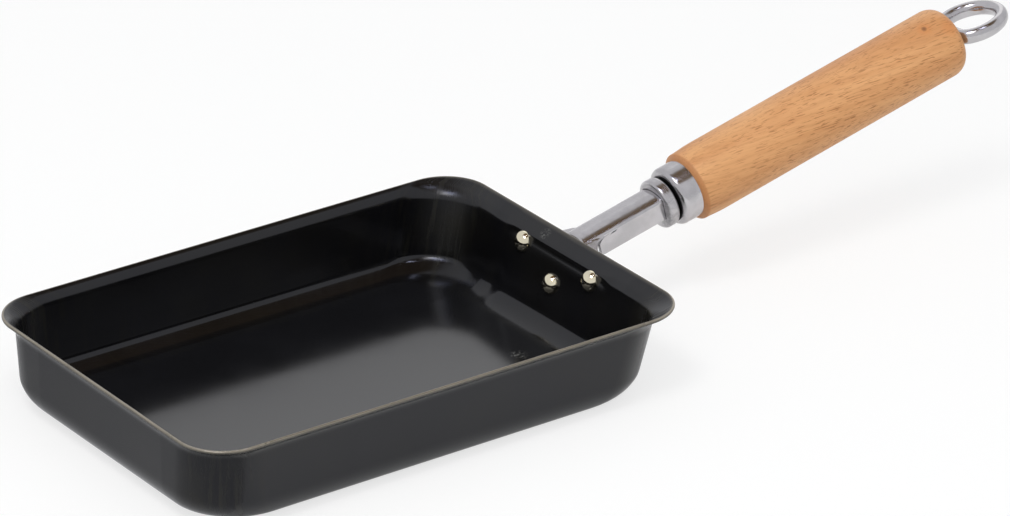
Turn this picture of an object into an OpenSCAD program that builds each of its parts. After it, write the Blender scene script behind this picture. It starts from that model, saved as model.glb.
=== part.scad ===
// Rectangular omelette pan: a pressed steel pan with a flared rim, a pressed bracket
// riveted under the rim, and a turned wooden handle clamped by a long eye bolt.
// The pan stands on z = 0 with its middle at the origin, and the handle points along +X.

/* [Pan] */
// Length of the pan over its rim
pan_length = 182; // [150:1:240]
// Width of the pan over its rim
pan_width = 130; // [122:1:200]
// Height of the rim above the table
pan_height = 30; // [27:0.5:50]
// Thickness of the steel sheet
sheet = 1.2; // [0.8:0.1:1.8]
// Radius of the rim's corners, seen from above
rim_corner = 16.5; // [12:0.1:22]
// Radius of the corners where the lip meets the walls
wall_corner = 19.7; // [12:0.1:24]
// Radius of the corners round the base
base_corner = 20.8; // [12:0.1:24]
// Radius of the hollow between the floor and the walls
floor_radius = 9; // [5:0.5:10]

/* [Walls] */
// Slope of the wall opposite the handle, in degrees from upright
far_draft = 0.5; // [0:0.5:15]
// Slope of the long walls
side_draft = 3.5; // [0:0.5:15]
// Slope of the wall at the handle, beside the bracket's seat
end_draft = 14; // [10:0.5:22]

/* [Rim] */
// Slope of the flared lip, in degrees above level
lip_slope = 35; // [15:1:45]
// Straight width of the lip over the far wall and the long walls
lip_length = 0.3; // [0.2:0.1:3]
// Straight width of the lip over the handle wall, beside the bracket's seat
end_lip = 4.2; // [2:0.1:6]
// Radius under the lip where it turns down into the wall
lip_radius = 4.4; // [2:0.1:5]

/* [Bracket seat in the pan] */
// Width of the flat seat that is pressed into the handle wall
seat_width = 46; // [44:0.5:52]
// Width over which the seat runs out at each side
seat_runout = 7; // [4:0.5:8]
// Straight width of the lip over the seat
seat_lip = 5.8; // [4:0.1:7]
// Radius under the lip over the seat
seat_radius = 0.4; // [0.2:0.1:1]
// Slope of the seat
seat_draft = 16; // [10:0.5:20]

/* [Rivets] */
// Diameter of the rivets' shanks
rivet_shank = 3; // [2:0.1:3.2]
// Diameter of the domed heads inside the pan
rivet_head = 7; // [6:0.1:7.4]
// Height of the domed heads
rivet_dome = 2.1; // [1.5:0.1:2.8]
// Diameter of the heads set behind the bracket
rivet_set = 5; // [4:0.1:5.4]
// Height of the heads set behind the bracket
rivet_set_height = 1.1; // [0.6:0.1:1.6]
// Depth of the two upper rivets below the lip's crease
rivet_depth = 3; // [2.6:0.1:3.6]
// Half the distance between the two upper rivets
rivet_spread = 18.3; // [18:0.1:19.5]
// Drop from the upper rivets to the lower one
rivet_drop = 7.8; // [6:0.1:8.6]
// Clearance of the rivets in their holes, on the diameter
rivet_fit = 0.1; // [0:0.05:0.3]

/* [Bracket] */
// Thickness of the bracket's steel
strap = 1.2; // [1:0.1:1.6]
// Width of the channel that carries the handle
channel_width = 10.8; // [10.6:0.1:13]
// Height of the channel's shoulders above the handle's axis
channel_top = 5; // [4.8:0.1:5.2]
// Depth of the channel's open edge below the handle's axis
channel_bottom = 3.1; // [2:0.1:4]
// Rise of the crowned top over its shoulders
crown_rise = 0.5; // [0.3:0.1:0.9]
// Radius of the channel's shoulders
shoulder_radius = 1.5; // [0.6:0.1:2]
// Height of the fishtail's top above the handle's axis
tail_level = 4.3; // [3.8:0.1:4.4]
// Radius of the hollow side of the fishtail
tail_radius = 8.2; // [6:0.1:9]
// Place where the fishtail starts to widen, out from the rim
tail_start = 10.5; // [9.5:0.1:13]
// Half the width of the fishtail under the lip
tail_half_width = 15.5; // [14.5:0.1:15.6]
// Place where the folded sides start, out from the rim
fold_start = 6.8; // [5:0.1:9]
// Length of the folded sides' round front
fold_round = 4.3; // [3:0.1:6]
// Radius of the flange's corners on the wall
flange_corner = 4.2; // [3.5:0.1:5]
// Gap between the bracket and the pan
seat_gap = 0.05; // [0:0.01:0.2]

/* [Handle line] */
// Rise of the handle, in degrees
handle_rise = 13.4; // [8:0.1:18]
// Depth of the handle's axis below the rim, at the rim's end
axis_drop = 5.7; // [5.5:0.1:8]
// Length of the bare channel from the rim's end to the collar
neck_length = 33.2; // [26:0.1:60]

/* [Collar and ferrule] */
// Diameter of the collar round the channel's end
collar_d = 16.9; // [16.5:0.1:20]
// Length of the collar
collar_length = 4.2; // [3.5:0.1:8]
// Depth of the pocket that takes the channel's end
collar_pocket = 2.4; // [1.5:0.1:2.8]
// Clearance round the channel's end in the collar
collar_fit = 0.1; // [0.05:0.05:0.3]
// Radius of the collar's edges
collar_round = 1.1; // [0.4:0.1:1.5]
// Diameter of the washer face between the collar and the ferrule
groove_d = 14; // [10:0.1:15]
// Width of the groove between the collar and the ferrule
groove_width = 0.9; // [0.5:0.1:2]
// Outer diameter of the ferrule
ferrule_d = 20; // [18.5:0.1:22]
// Length of the ferrule
ferrule_length = 7.4; // [6:0.1:16]
// Wall of the ferrule
ferrule_wall = 1; // [0.8:0.1:1.5]
// Radius of the ferrule's shoulder
ferrule_round = 2; // [1.5:0.1:3]

/* [Wooden handle] */
// Length of the wood that shows behind the ferrule
wood_length = 111.3; // [80:0.1:150]
// Diameter of the wood
wood_d = 24.2; // [22:0.1:30]
// Diameter of the wood behind its front chamfer
wood_front_d = 23.4; // [21:0.1:29]
// Length over which the front swells to the full diameter
wood_swell = 9; // [4:0.1:20]
// Length of the front chamfer
wood_chamfer = 1.3; // [0.5:0.1:2]
// Length of the rounding at the hanging end
end_round_length = 4.6; // [2:0.1:8]
// Depth of the rounding at the hanging end
end_round_depth = 3.3; // [2:0.1:5]
// Clearance of the wood in the ferrule, on the diameter
wood_fit = 0.1; // [0.05:0.05:0.4]

/* [Hanging eye and tie bolt] */
// Diameter of the eye's wire
eye_wire = 4.3; // [3.5:0.1:5]
// Radius of the eye along the middle of its wire
eye_radius = 10.6; // [9:0.1:14]
// Radius of the eye's inner corners along the middle of its wire
eye_corner = 4; // [3:0.1:5]
// Distance from the wood to the middle of the eye's near wire
eye_stand = 2.3; // [2.2:0.1:5]
// Distance from the eye's near wire to the middle of its round
eye_depth = 8.2; // [6:0.1:9]
// Turn of the eye about the handle's axis, in degrees
eye_turn = -8; // [-90:1:90]
// Diameter of the eye's shoulder against the wood
eye_shoulder_d = 8; // [6:0.1:12]
// Thickness of the eye's shoulder
eye_shoulder = 1; // [0.6:0.1:1.5]
// Diameter of the tie bolt
bolt_d = 4; // [3.5:0.1:4.4]
// Clearance of the tie bolt in the wood and the metal, on the diameter
bolt_fit = 0.4; // [0.2:0.05:1]
// Width of the nut across its flats
nut_width = 7; // [6.5:0.1:7.2]
// Thickness of the nut
nut_height = 3.2; // [2.4:0.1:5]
// Length of the tie bolt past the nut
bolt_tail = 1.5; // [0.5:0.1:4]

/* [Hidden] */
$fn = 64;
// Steps of the loft round a corner, round the lip's bend and round the floor's hollow
corner_steps = 7;
bend_steps = 4;
hollow_steps = 6;
// Steps round the eye, round each of its inner corners and round its wire
eye_steps = 36;
eye_corner_steps = 6;
wire_sides = 16;
// Share of the sheet by which its cut edge at the rim is rounded
edge_bulge = 0.35;
// Reach of the blocks that trim the bracket
far = 200;

// The sheet's form at a wall is [straight lip, radius under the lip, draft].
far_form = [lip_length, lip_radius, far_draft];
side_form = [lip_length, lip_radius, side_draft];
end_form = [end_lip, lip_radius, end_draft];
seat_form = [seat_lip, seat_radius, seat_draft];

// A point of a wall is [distance in from the rim, height]. These are the directions
// down along a sheet that slopes by an angle, and out of its outer face.
function down(angle) = [cos(angle), -sin(angle)];
function out(angle) = [-sin(angle), -cos(angle)];

function rim_point() = [sheet * sin(lip_slope), pan_height];
function bend_centre(form) =
    rim_point() + form[0] * down(lip_slope) + (form[1] + sheet) * out(lip_slope);
function wall_top(form) = bend_centre(form) - (form[1] + sheet) * out(90 - form[2]);
function wall_foot_height(form) = sheet + floor_radius * (1 - sin(form[2]));
function hollow_centre(form) =
    [wall_top(form)[0] + (wall_top(form)[1] - wall_foot_height(form)) * tan(form[2])
         + floor_radius * cos(form[2]),
     sheet + floor_radius];

// Stations down the wall: 0 is the rim, then the lip's bend, then the floor's hollow.
last_station = bend_steps + hollow_steps + 2;
function bend_angle(form, k) = lip_slope + (90 - form[2] - lip_slope) * (k - 1) / bend_steps;
function hollow_angle(form, k) = (90 - form[2]) * (last_station - k) / hollow_steps;
function wall_point(form, depth, k) =
    k == 0 ? rim_point() + depth * out(lip_slope)
    : k <= bend_steps + 1
        ? bend_centre(form) - (form[1] + sheet - depth) * out(bend_angle(form, k))
        : hollow_centre(form) + (floor_radius + depth) * out(hollow_angle(form, k));
function edge_point() =
    rim_point() + sheet / 2 * out(lip_slope) - edge_bulge * sheet * down(lip_slope);
function ring_point(form, depth, k) = k < 0 ? edge_point() : wall_point(form, depth, k);

function mix(a, b, share) = a + (b - a) * share;
function ease(t) = t * t * (3 - 2 * t);
function corner_radius(depth, k) =
    (k < 0 ? rim_corner
     : k <= bend_steps + 1 ? mix(rim_corner, wall_corner, k / (bend_steps + 1))
     : mix(wall_corner, base_corner, min(1, (k - bend_steps - 1) / 2)))
    - sheet + depth;

// A point of a ring at a corner, share 0 on the end wall and 1 on the long wall.
function corner_point(end_form, x_sign, y_sign, share, depth, k) =
    let (x_wall = ring_point(end_form, depth, k),
         y_wall = ring_point(side_form, depth, k),
         r = corner_radius(depth, k))
    [x_sign * (pan_length / 2 - x_wall[0] - r * (1 - cos(90 * share))),
     y_sign * (pan_width / 2 - y_wall[0] - r * (1 - sin(90 * share))),
     mix(x_wall[1], y_wall[1], share)];
// A point of a ring on the handle wall, where the seat is pressed in.
function seat_point(y, depth, k) =
    let (share = ease(max(0, min(1, (seat_end - abs(y)) / (seat_end - seat_half)))),
         wall = ring_point(mix(end_form, seat_form, share), depth, k))
    [pan_length / 2 - wall[0], y, wall[1]];

// The seat runs out before the corners start.
seat_half = seat_width / 2;
corner_start = pan_width / 2 - hollow_centre(side_form)[0] - base_corner;
seat_end = min(seat_half + seat_runout, corner_start - sheet);
seat_steps = [for (t = [0, 0.3, 0.55, 0.8, 1]) mix(seat_half, seat_end, t)];
seat_side = concat([rivet_spread / 2], seat_steps);
seat_rows = concat([for (i = [len(seat_side) - 1:-1:0]) -seat_side[i]], seat_side);
corner_up = [for (i = [0:corner_steps]) i / corner_steps];
corner_down = [for (i = [corner_steps:-1:0]) i / corner_steps];
function ring(depth, k) = concat(
    [for (y = seat_rows) seat_point(y, depth, k)],
    [for (s = corner_up) corner_point(end_form, 1, 1, s, depth, k)],
    [for (s = corner_down) corner_point(far_form, -1, 1, s, depth, k)],
    [for (s = corner_up) corner_point(far_form, -1, -1, s, depth, k)],
    [for (s = corner_down) corner_point(end_form, 1, -1, s, depth, k)]);

// The pan's skin runs up its outside, over the rim's cut edge and down its inside. The
// base and the floor are fans about their middles.
module pan_shell() {
    rings = concat([for (k = [last_station:-1:0]) ring(sheet, k)],
                   [ring(sheet / 2, -1)],
                   [for (k = [0:last_station]) ring(0, k)]);
    n = len(rings[0]);
    last = len(rings) - 1;
    base_middle = len(rings) * n;
    floor_middle = base_middle + 1;
    points = concat([for (r = rings) each r], [[0, 0, 0], [0, 0, sheet]]);
    base = [for (i = [0:n - 1]) [base_middle, i, (i + 1) % n]];
    floor_fan = [for (i = [0:n - 1]) [floor_middle, last * n + (i + 1) % n, last * n + i]];
    skin = [for (j = [0:last - 1], i = [0:n - 1])
        let (next = (i + 1) % n)
        each [[j * n + i, (j + 1) * n + i, (j + 1) * n + next],
              [j * n + i, (j + 1) * n + next, j * n + next]]];
    polyhedron(points = points, faces = concat(base, skin, floor_fan), convexity = 6);
}

// Frame on the seat: x runs down the seat from the crease, z out through the sheet.
seat_top = wall_top(seat_form);
module on_seat() {
    translate([pan_length / 2 - seat_top[0], 0, seat_top[1]])
        rotate([0, 90 + seat_draft, 0]) children();
}
rivet_places = [[rivet_depth, rivet_spread], [rivet_depth, -rivet_spread],
                [rivet_depth + rivet_drop, 0]];
module rivet_holes() {
    on_seat()
        for (p = rivet_places)
            translate([p[0], p[1], -2 * sheet])
                cylinder(d = rivet_shank + rivet_fit, h = 4 * (sheet + strap));
}
module pan_body() {
    color("#26272b")
        difference() {
            pan_shell();
            rivet_holes();
        }
}

// A rivet has its dome inside the pan and its set head behind the bracket's flange.
grip = sheet + seat_gap + strap;
module rivet(place) {
    dome = [for (t = [0:7.5:90]) [rivet_head / 2 * cos(t), -rivet_dome * sin(t)]];
    set_r = rivet_set / 2;
    set_head = [for (t = [90:-15:0])
        [set_r - rivet_set_height * (1 - cos(t)), grip + rivet_set_height * sin(t)]];
    color("#d9d4c8")
        on_seat()
            translate([place[0], place[1], 0])
                rotate_extrude()
                    polygon(concat([[0, grip + rivet_set_height]], set_head,
                                   [[rivet_shank / 2, grip], [rivet_shank / 2, 0]], dome));
}
module rivet_left() {
    rivet(rivet_places[0]);
}
module rivet_right() {
    rivet(rivet_places[1]);
}
module rivet_lower() {
    rivet(rivet_places[2]);
}

// Frame on the handle: x runs out along its axis from the rim's end, z is its upper side.
module on_handle() {
    translate([pan_length / 2, 0, pan_height - axis_drop])
        rotate([0, -handle_rise, 0]) children();
}
// Extrudes a section drawn across the handle, or a side view drawn along it.
module along_handle(from, to) {
    translate([from, 0, 0]) rotate([90, 0, 90]) linear_extrude(to - from) children();
}
module across_handle(width) {
    rotate([90, 0, 0]) linear_extrude(width, center = true) children();
}

collar_start = neck_length;
ferrule_start = collar_start + collar_length + groove_width;
wood_start = ferrule_start + ferrule_length;
wood_end = wood_start + wood_length;
channel_end = collar_start + collar_pocket;

// The strap in side view: down the seat, up under the lip and out along the handle.
seat_corner = [pan_length / 2 - seat_top[0], seat_top[1]]
    + (sheet + seat_gap) * [cos(seat_draft), -sin(seat_draft)];
lip_way = [cos(lip_slope), sin(lip_slope)];
seat_way = [-sin(seat_draft), -cos(seat_draft)];
handle_way = [cos(handle_rise), sin(handle_rise)];
handle_up = [-sin(handle_rise), cos(handle_rise)];
tail_origin = [pan_length / 2, pan_height - axis_drop] + tail_level * handle_up;
function cross2(a, b) = a[0] * b[1] - a[1] * b[0];
function meet(p, way, q, other) = p + way * cross2(q - p, other) / cross2(way, other);
tail_corner = meet(seat_corner, lip_way, tail_origin, handle_way);
strap_line = [seat_corner + flange_corner * seat_way, seat_corner, tail_corner,
              tail_origin + neck_length * handle_way];
function unit(v) = v / norm(v);
function right_of(v) = [v[1], -v[0]];
function side_step(line, i) =
    i == 0 ? right_of(unit(line[1] - line[0]))
    : i == len(line) - 1 ? right_of(unit(line[i] - line[i - 1]))
    : let (a = right_of(unit(line[i] - line[i - 1])), b = right_of(unit(line[i + 1] - line[i])))
      (a + b) / (1 + a * b);
module strap_section() {
    n = len(strap_line);
    polygon(concat(strap_line,
                   [for (i = [n - 1:-1:0]) strap_line[i] + strap * side_step(strap_line, i)]));
}
// The fishtail from above, with hollow sides that run into the channel. Under the lip it
// is narrower than the flange, so the upper rivets' heads are clear of the fold.
tail_run = 2;
tail_foot = 12;
module tail_outline() {
    half = channel_width / 2;
    sweep = [for (t = [270:-7.5:195])
        [tail_start + tail_radius * cos(t), half + tail_radius * (1 + sin(t))]];
    side = concat([[tail_start + half, half]], sweep,
                  [[-tail_run, tail_half_width], [-tail_foot, tail_half_width]]);
    polygon(concat(side, [for (i = [len(side) - 1:-1:0]) [side[i][0], -side[i][1]]]));
}
// Smallest radius inside the channel's shoulders
inner_shoulder = 0.2;
// The channel's section: flat sides, round shoulders and a crowned top.
module channel_outline(half, top, bottom, radius) {
    corner = half - radius;
    apex = top + crown_rise;
    crown_r = (corner * corner + pow(crown_rise + radius, 2) - radius * radius) / (2 * crown_rise);
    hull() {
        intersection() {
            translate([0, apex - crown_r]) circle(crown_r, $fn = 180);
            translate([-corner, 0]) square([2 * corner, apex]);
        }
        for (side = [-1, 1])
            translate([side * corner, top - radius]) circle(radius);
    }
    translate([-half, -bottom]) square([2 * half, bottom + top - radius]);
}
module channel_section() {
    half = channel_width / 2;
    difference() {
        channel_outline(half, channel_top, channel_bottom, shoulder_radius);
        channel_outline(half - strap, channel_top - strap, channel_bottom + strap,
                        max(inner_shoulder, shoulder_radius - strap));
    }
}
module channel() {
    front_half = (channel_top - strap + channel_bottom) / 2;
    front_middle = (channel_top - strap - channel_bottom) / 2;
    rib_floor = tail_level - strap;
    intersection() {
        along_handle(-far, channel_end) channel_section();
        across_handle(2 * channel_width) {
            translate([fold_start + fold_round, front_middle])
                scale([fold_round / front_half, 1]) circle(front_half);
            translate([fold_start + fold_round, -far / 2]) square(far);
            translate([-channel_width, rib_floor]) square(far);
        }
    }
}
// Everything above the lip's underside, as far out as the rim, and behind the seat.
module pan_side() {
    rim_reach = pan_length / 2 + edge_bulge * sheet + seat_gap;
    intersection() {
        translate([seat_corner[0], 0, seat_corner[1]])
            rotate([0, -lip_slope, 0]) translate([-far / 2, -far / 2, 0]) cube(far);
        translate([rim_reach - far, -far / 2, 0]) cube(far);
    }
    translate([seat_corner[0], 0, seat_corner[1]])
        rotate([0, 90 + seat_draft, 0]) translate([-far / 2, -far / 2, -far]) cube(far);
}
// The flange on the seat: three round corners, with the lower one round its rivet.
flange_top = flange_corner + 0.1;
flange_half = rivet_spread + 0.3;
flange_corners = [[flange_top, -flange_half], [rivet_depth + rivet_drop, 0],
                  [flange_top, flange_half]];
flange_tilt = atan2(flange_corners[1][0] - flange_corners[0][0], flange_corners[2][1]);
module flange_outline() {
    turns = [-180, -flange_tilt, flange_tilt, 180];
    polygon([for (i = [0:2], t = [0:0.125:1])
        let (a = mix(turns[i], turns[i + 1], t))
        flange_corners[i] + flange_corner * [cos(a), sin(a)]]);
}
module handle_bracket() {
    color("#c9cacd")
        difference() {
            union() {
                intersection() {
                    rotate([90, 0, 0]) linear_extrude(far, center = true) strap_section();
                    on_handle() translate([0, 0, -far / 2]) linear_extrude(far) tail_outline();
                }
                on_seat() translate([0, 0, sheet + seat_gap]) linear_extrude(strap)
                    flange_outline();
                on_handle() channel();
            }
            pan_side();
            rivet_holes();
        }
}

// The collar takes the channel's end in a pocket and the nut in a round seat behind it.
module collar() {
    r = collar_d / 2;
    back = collar_start + collar_length;
    front_round = [for (t = [0:22.5:90])
        [collar_start + collar_round * (1 - cos(t)), r - collar_round * (1 - sin(t))]];
    back_round = [for (t = [90:-22.5:0])
        [back - collar_round * (1 - cos(t)), r - collar_round * (1 - sin(t))]];
    color("#c9cacd")
        on_handle()
            difference() {
                turned(concat([[collar_start, 0]], front_round, back_round,
                              [[back, groove_d / 2], [ferrule_start, groove_d / 2],
                               [ferrule_start, 0]]));
                along_handle(-far, channel_end)
                    channel_outline(channel_width / 2 + collar_fit, channel_top + collar_fit,
                                    channel_bottom + collar_fit, shoulder_radius);
                bore(-far, channel_end, nut_width / cos(30) + bolt_fit);
                bore(-far, far, bolt_d + bolt_fit);
            }
}
// Turns a profile of [distance along the handle, radius] points about the handle's axis.
module turned(profile) {
    rotate([0, 90, 0]) rotate_extrude() polygon([for (p = profile) [p[1], p[0]]]);
}
module bore(from, to, d) {
    translate([from, 0, 0]) rotate([0, 90, 0]) cylinder(d = d, h = to - from);
}
module tie_nut() {
    color("#b9b6ad")
        on_handle()
            difference() {
                translate([channel_end - nut_height, 0, 0])
                    rotate([0, 90, 0])
                        cylinder(d = nut_width / cos(30), h = nut_height, $fn = 6);
                bore(0, channel_end + 1, bolt_d);
            }
}
// The ferrule is a cup with a round shoulder, closed towards the collar.
module ferrule() {
    r = ferrule_d / 2;
    inner_r = r - ferrule_wall;
    shoulder = [for (t = [0:15:90])
        [ferrule_start + ferrule_round * (1 - cos(t)), r - ferrule_round * (1 - sin(t))]];
    inside = ferrule_round - ferrule_wall;
    hollow = [for (t = [90:-22.5:0])
        [ferrule_start + ferrule_wall + inside * (1 - cos(t)), inner_r - inside * (1 - sin(t))]];
    hole = (bolt_d + bolt_fit) / 2;
    color("#c9cacd")
        on_handle()
            turned(concat([[ferrule_start, hole]], shoulder, [[wood_start, r], [wood_start, inner_r]],
                          hollow, [[ferrule_start + ferrule_wall, hole]]));
}
// The wood has a tenon in the ferrule, a chamfered front and a round hanging end.
module wood_handle() {
    r = wood_d / 2;
    front_r = wood_front_d / 2;
    tenon_r = ferrule_d / 2 - ferrule_wall - wood_fit / 2;
    tenon_start = ferrule_start + ferrule_wall;
    tenon_round = ferrule_round - ferrule_wall;
    swell = [for (t = [0:0.25:1])
        [wood_start + wood_chamfer + (wood_swell - wood_chamfer) * t, mix(front_r, r, ease(t))]];
    rounding = [for (t = [0:11.25:90])
        [wood_end - end_round_length * (1 - sin(t)), r - end_round_depth * (1 - cos(t))]];
    hole = (bolt_d + bolt_fit) / 2;
    color("#d9a066")
        on_handle()
            turned(concat([[tenon_start, hole], [tenon_start, tenon_r - tenon_round],
                           [tenon_start + tenon_round, tenon_r], [wood_start, tenon_r],
                           [wood_start, ferrule_d / 2]],
                          swell, rounding, [[wood_end, hole]]));
}
// The eye is a round of wire with a flattened near side, a shoulder and the tie bolt.
eye_middle = wood_end + eye_stand + eye_depth;
eye_corner_x = eye_depth - eye_corner;
eye_corner_y = sqrt(pow(eye_radius - eye_corner, 2) - pow(eye_corner_x, 2));
eye_sweep = 180 - acos(eye_corner_x / (eye_radius - eye_corner));
// The wire's middle line, as [middle of its arc, radius, angle on the arc].
eye_line = concat(
    [for (a = [0:eye_steps]) [[0, 0], eye_radius, mix(-eye_sweep, eye_sweep, a / eye_steps)]],
    [for (a = [1:eye_corner_steps])
        [[-eye_corner_x, eye_corner_y], eye_corner, mix(eye_sweep, 180, a / eye_corner_steps)]],
    [for (a = [0:eye_corner_steps - 1])
        [[-eye_corner_x, -eye_corner_y], eye_corner,
         mix(180, 360 - eye_sweep, a / eye_corner_steps)]]);
module eye_loop() {
    n = len(eye_line);
    points = [for (s = eye_line, i = [0:wire_sides - 1])
        let (side = 360 * i / wire_sides, reach = s[1] + eye_wire / 2 * cos(side))
        [s[0][0] + reach * cos(s[2]), s[0][1] + reach * sin(s[2]), eye_wire / 2 * sin(side)]];
    faces = [for (j = [0:n - 1], i = [0:wire_sides - 1])
        let (ahead = (j + 1) % n * wire_sides, here = j * wire_sides, next = (i + 1) % wire_sides)
        each [[here + i, ahead + next, ahead + i], [here + i, here + next, ahead + next]]];
    polyhedron(points = points, faces = faces, convexity = 4);
}
module hanging_eye() {
    bolt_start = channel_end - nut_height - bolt_tail;
    // The shoulder's cone ends inside the wire.
    cone_r = 0.4 * eye_wire;
    color("#c9cacd")
        on_handle() {
            rotate([eye_turn, 0, 0]) translate([eye_middle, 0, 0]) eye_loop();
            turned([[bolt_start, 0], [bolt_start, bolt_d / 2], [wood_end, bolt_d / 2],
                    [wood_end, eye_shoulder_d / 2], [wood_end + eye_shoulder, eye_shoulder_d / 2],
                    [wood_end + eye_stand, cone_r], [wood_end + eye_stand, 0]]);
        }
}

pan_body();
rivet_left();
rivet_right();
rivet_lower();
handle_bracket();
collar();
tie_nut();
ferrule();
wood_handle();
hanging_eye();
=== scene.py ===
"""Rolled-omelette pan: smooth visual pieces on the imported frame, their finishes, and a plain studio.

Every piece is worked out in millimetres, as part.scad does, and put into its mesh in metres.
The pan stands on z = 0 with its middle at the origin, and the handle points along +X.
"""

import math

import bmesh
import bpy
import numpy as np
from bpy.props import FloatProperty, FloatVectorProperty, PointerProperty
from mathutils import Matrix, Vector


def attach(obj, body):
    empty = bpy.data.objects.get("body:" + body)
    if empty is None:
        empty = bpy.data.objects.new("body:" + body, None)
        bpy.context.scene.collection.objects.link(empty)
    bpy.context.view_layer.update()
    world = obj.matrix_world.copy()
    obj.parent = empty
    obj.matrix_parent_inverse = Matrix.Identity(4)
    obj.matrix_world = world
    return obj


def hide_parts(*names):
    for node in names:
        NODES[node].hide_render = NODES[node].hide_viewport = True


bl_info = {
    "name": "Rolled-omelette pan",
    "version": (1, 0, 0),
    "blender": (4, 5, 0),
    "location": "View3D > Sidebar > Pan",
    "description": "Dresses the packed pan: pressed steel, bracket, rivets, handle and hanging eye",
    "category": "Object",
}

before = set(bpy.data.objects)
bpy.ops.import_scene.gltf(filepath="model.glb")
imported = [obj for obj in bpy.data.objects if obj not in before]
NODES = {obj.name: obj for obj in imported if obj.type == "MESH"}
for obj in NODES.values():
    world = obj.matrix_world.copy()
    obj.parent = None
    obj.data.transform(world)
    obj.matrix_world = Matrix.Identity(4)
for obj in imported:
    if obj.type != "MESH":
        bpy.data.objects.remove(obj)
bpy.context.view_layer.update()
BODY = "root"
MM = 0.001
# Smooth pieces are made a hair under the faceted CAD solids, so that they stay inside their box.
SKIM = 0.02


# Sizes and colours

def in_mm(name, description, default):
    """A setting in millimetres."""
    return FloatProperty(name=name, description=description + ", mm", default=default)


def in_degrees(name, description, default):
    """A setting in degrees."""
    return FloatProperty(name=name, description=description + ", degrees", default=default)


def plain_number(name, description, default):
    """A setting without a unit."""
    return FloatProperty(name=name, description=description, default=default)


def rgb(name, description, default):
    """A setting for a colour, given as red, green and blue."""
    return FloatVectorProperty(name=name, description=description, subtype="COLOR", size=4,
                               default=default + (1.0,))


class PanSizes(bpy.types.PropertyGroup):
    """Sizes of the pressed pan."""

    length: in_mm("Length", "Length over the rim", 182.0)
    width: in_mm("Width", "Width over the rim", 130.0)
    height: in_mm("Height", "Height of the rim", 30.0)
    sheet: in_mm("Sheet", "Thickness of the steel", 1.2)
    rim_corner: in_mm("Rim corner", "Corner radius of the rim", 16.5)
    wall_corner: in_mm("Wall corner", "Corner radius under the lip", 19.7)
    base_corner: in_mm("Base corner", "Corner radius round the base", 20.8)
    floor_radius: in_mm("Floor hollow", "Radius between floor and walls", 9.0)
    foot_radius: in_mm("Wall foot", "Tight radius at the foot of the wall", 3.6)
    foot_angle: in_degrees("Foot slope", "Slope where the tight radius ends", 42.0)
    foot_spread: in_mm("Foot spread", "What the rest of the hollow gains", 3.0)
    far_draft: in_degrees("Far draft", "Slope of the wall opposite the handle", 0.5)
    side_draft: in_degrees("Side draft", "Slope of the long walls", 3.5)
    end_draft: in_degrees("Handle draft", "Slope of the handle wall", 14.0)
    lip_slope: in_degrees("Lip slope", "Slope of the lip above level", 35.0)
    lip_length: in_mm("Lip", "Straight width of the lip", 0.3)
    end_lip: in_mm("Handle lip", "Straight width of the lip at the handle", 4.2)
    lip_radius: in_mm("Lip radius", "Radius under the lip", 4.4)
    seat_width: in_mm("Seat", "Width of the bracket's seat", 46.0)
    seat_runout: in_mm("Run-out", "Width of the seat's run-out", 7.0)
    seat_lip: in_mm("Seat lip", "Straight width of the lip over the seat", 5.8)
    seat_radius: in_mm("Seat crease", "Radius of the crease over the seat", 0.4)
    seat_draft: in_degrees("Seat draft", "Slope of the seat", 16.0)
    edge_bulge: plain_number("Edge bulge", "Rounding of the cut edge, share of the sheet", 0.35)


class BracketSizes(bpy.types.PropertyGroup):
    """Sizes of the pressed bracket and its rivets."""

    strap: in_mm("Strap", "Thickness of the bracket's steel", 1.2)
    seat_gap: in_mm("Seat gap", "Gap between the bracket and the pan", 0.05)
    channel_width: in_mm("Channel", "Width of the channel", 10.8)
    channel_top: in_mm("Channel top", "Height of its shoulders above the axis", 4.65)
    channel_bottom: in_mm("Channel edge", "Depth of its open edge below the axis", 3.1)
    crown_rise: in_mm("Crown", "Rise of the crowned top over the shoulders", 0.85)
    shoulder_radius: in_mm("Shoulder", "Radius of the channel's shoulders", 1.5)
    rib_radius: in_mm("Rib foot", "Radius between the rib and the fishtail", 1.0)
    rib_side: in_degrees("Rib side", "Slope of the rib's sides at the lip", 48.0)
    fold_middle: in_mm("Fold middle", "Height of the folds' foremost point", 0.35)
    tail_level: in_mm("Fishtail level", "Height of the fishtail above the axis", 4.3)
    tail_radius: in_mm("Fishtail hollow", "Radius of its hollow side", 8.2)
    tail_start: in_mm("Fishtail start", "Where it starts to widen", 10.5)
    tail_half_width: in_mm("Fishtail half", "Half its width under the lip", 15.5)
    tail_droop: in_degrees("Droop", "Slope of the fishtail's flanks", 16.0)
    fold_start: in_mm("Fold start", "Where the folded sides start", 6.8)
    fold_round: in_mm("Fold round", "Length of their round front", 4.3)
    flange_corner: in_mm("Flange corner", "Radius of the flange's corners", 4.2)
    rivet_shank: in_mm("Shank", "Diameter of the rivets' shanks", 3.0)
    rivet_head: in_mm("Rivet head", "Diameter of the domed heads", 7.0)
    rivet_dome: in_mm("Dome", "Height of the domed heads", 2.6)
    rivet_set: in_mm("Set head", "Diameter of the heads behind the bracket", 5.0)
    rivet_set_height: in_mm("Set height", "Height of those heads", 1.1)
    rivet_depth: in_mm("Rivet depth", "Upper rivets below the crease", 3.0)
    rivet_spread: in_mm("Rivet spread", "Half the distance between them", 18.3)
    rivet_drop: in_mm("Rivet drop", "Drop to the lower rivet", 7.8)


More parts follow.
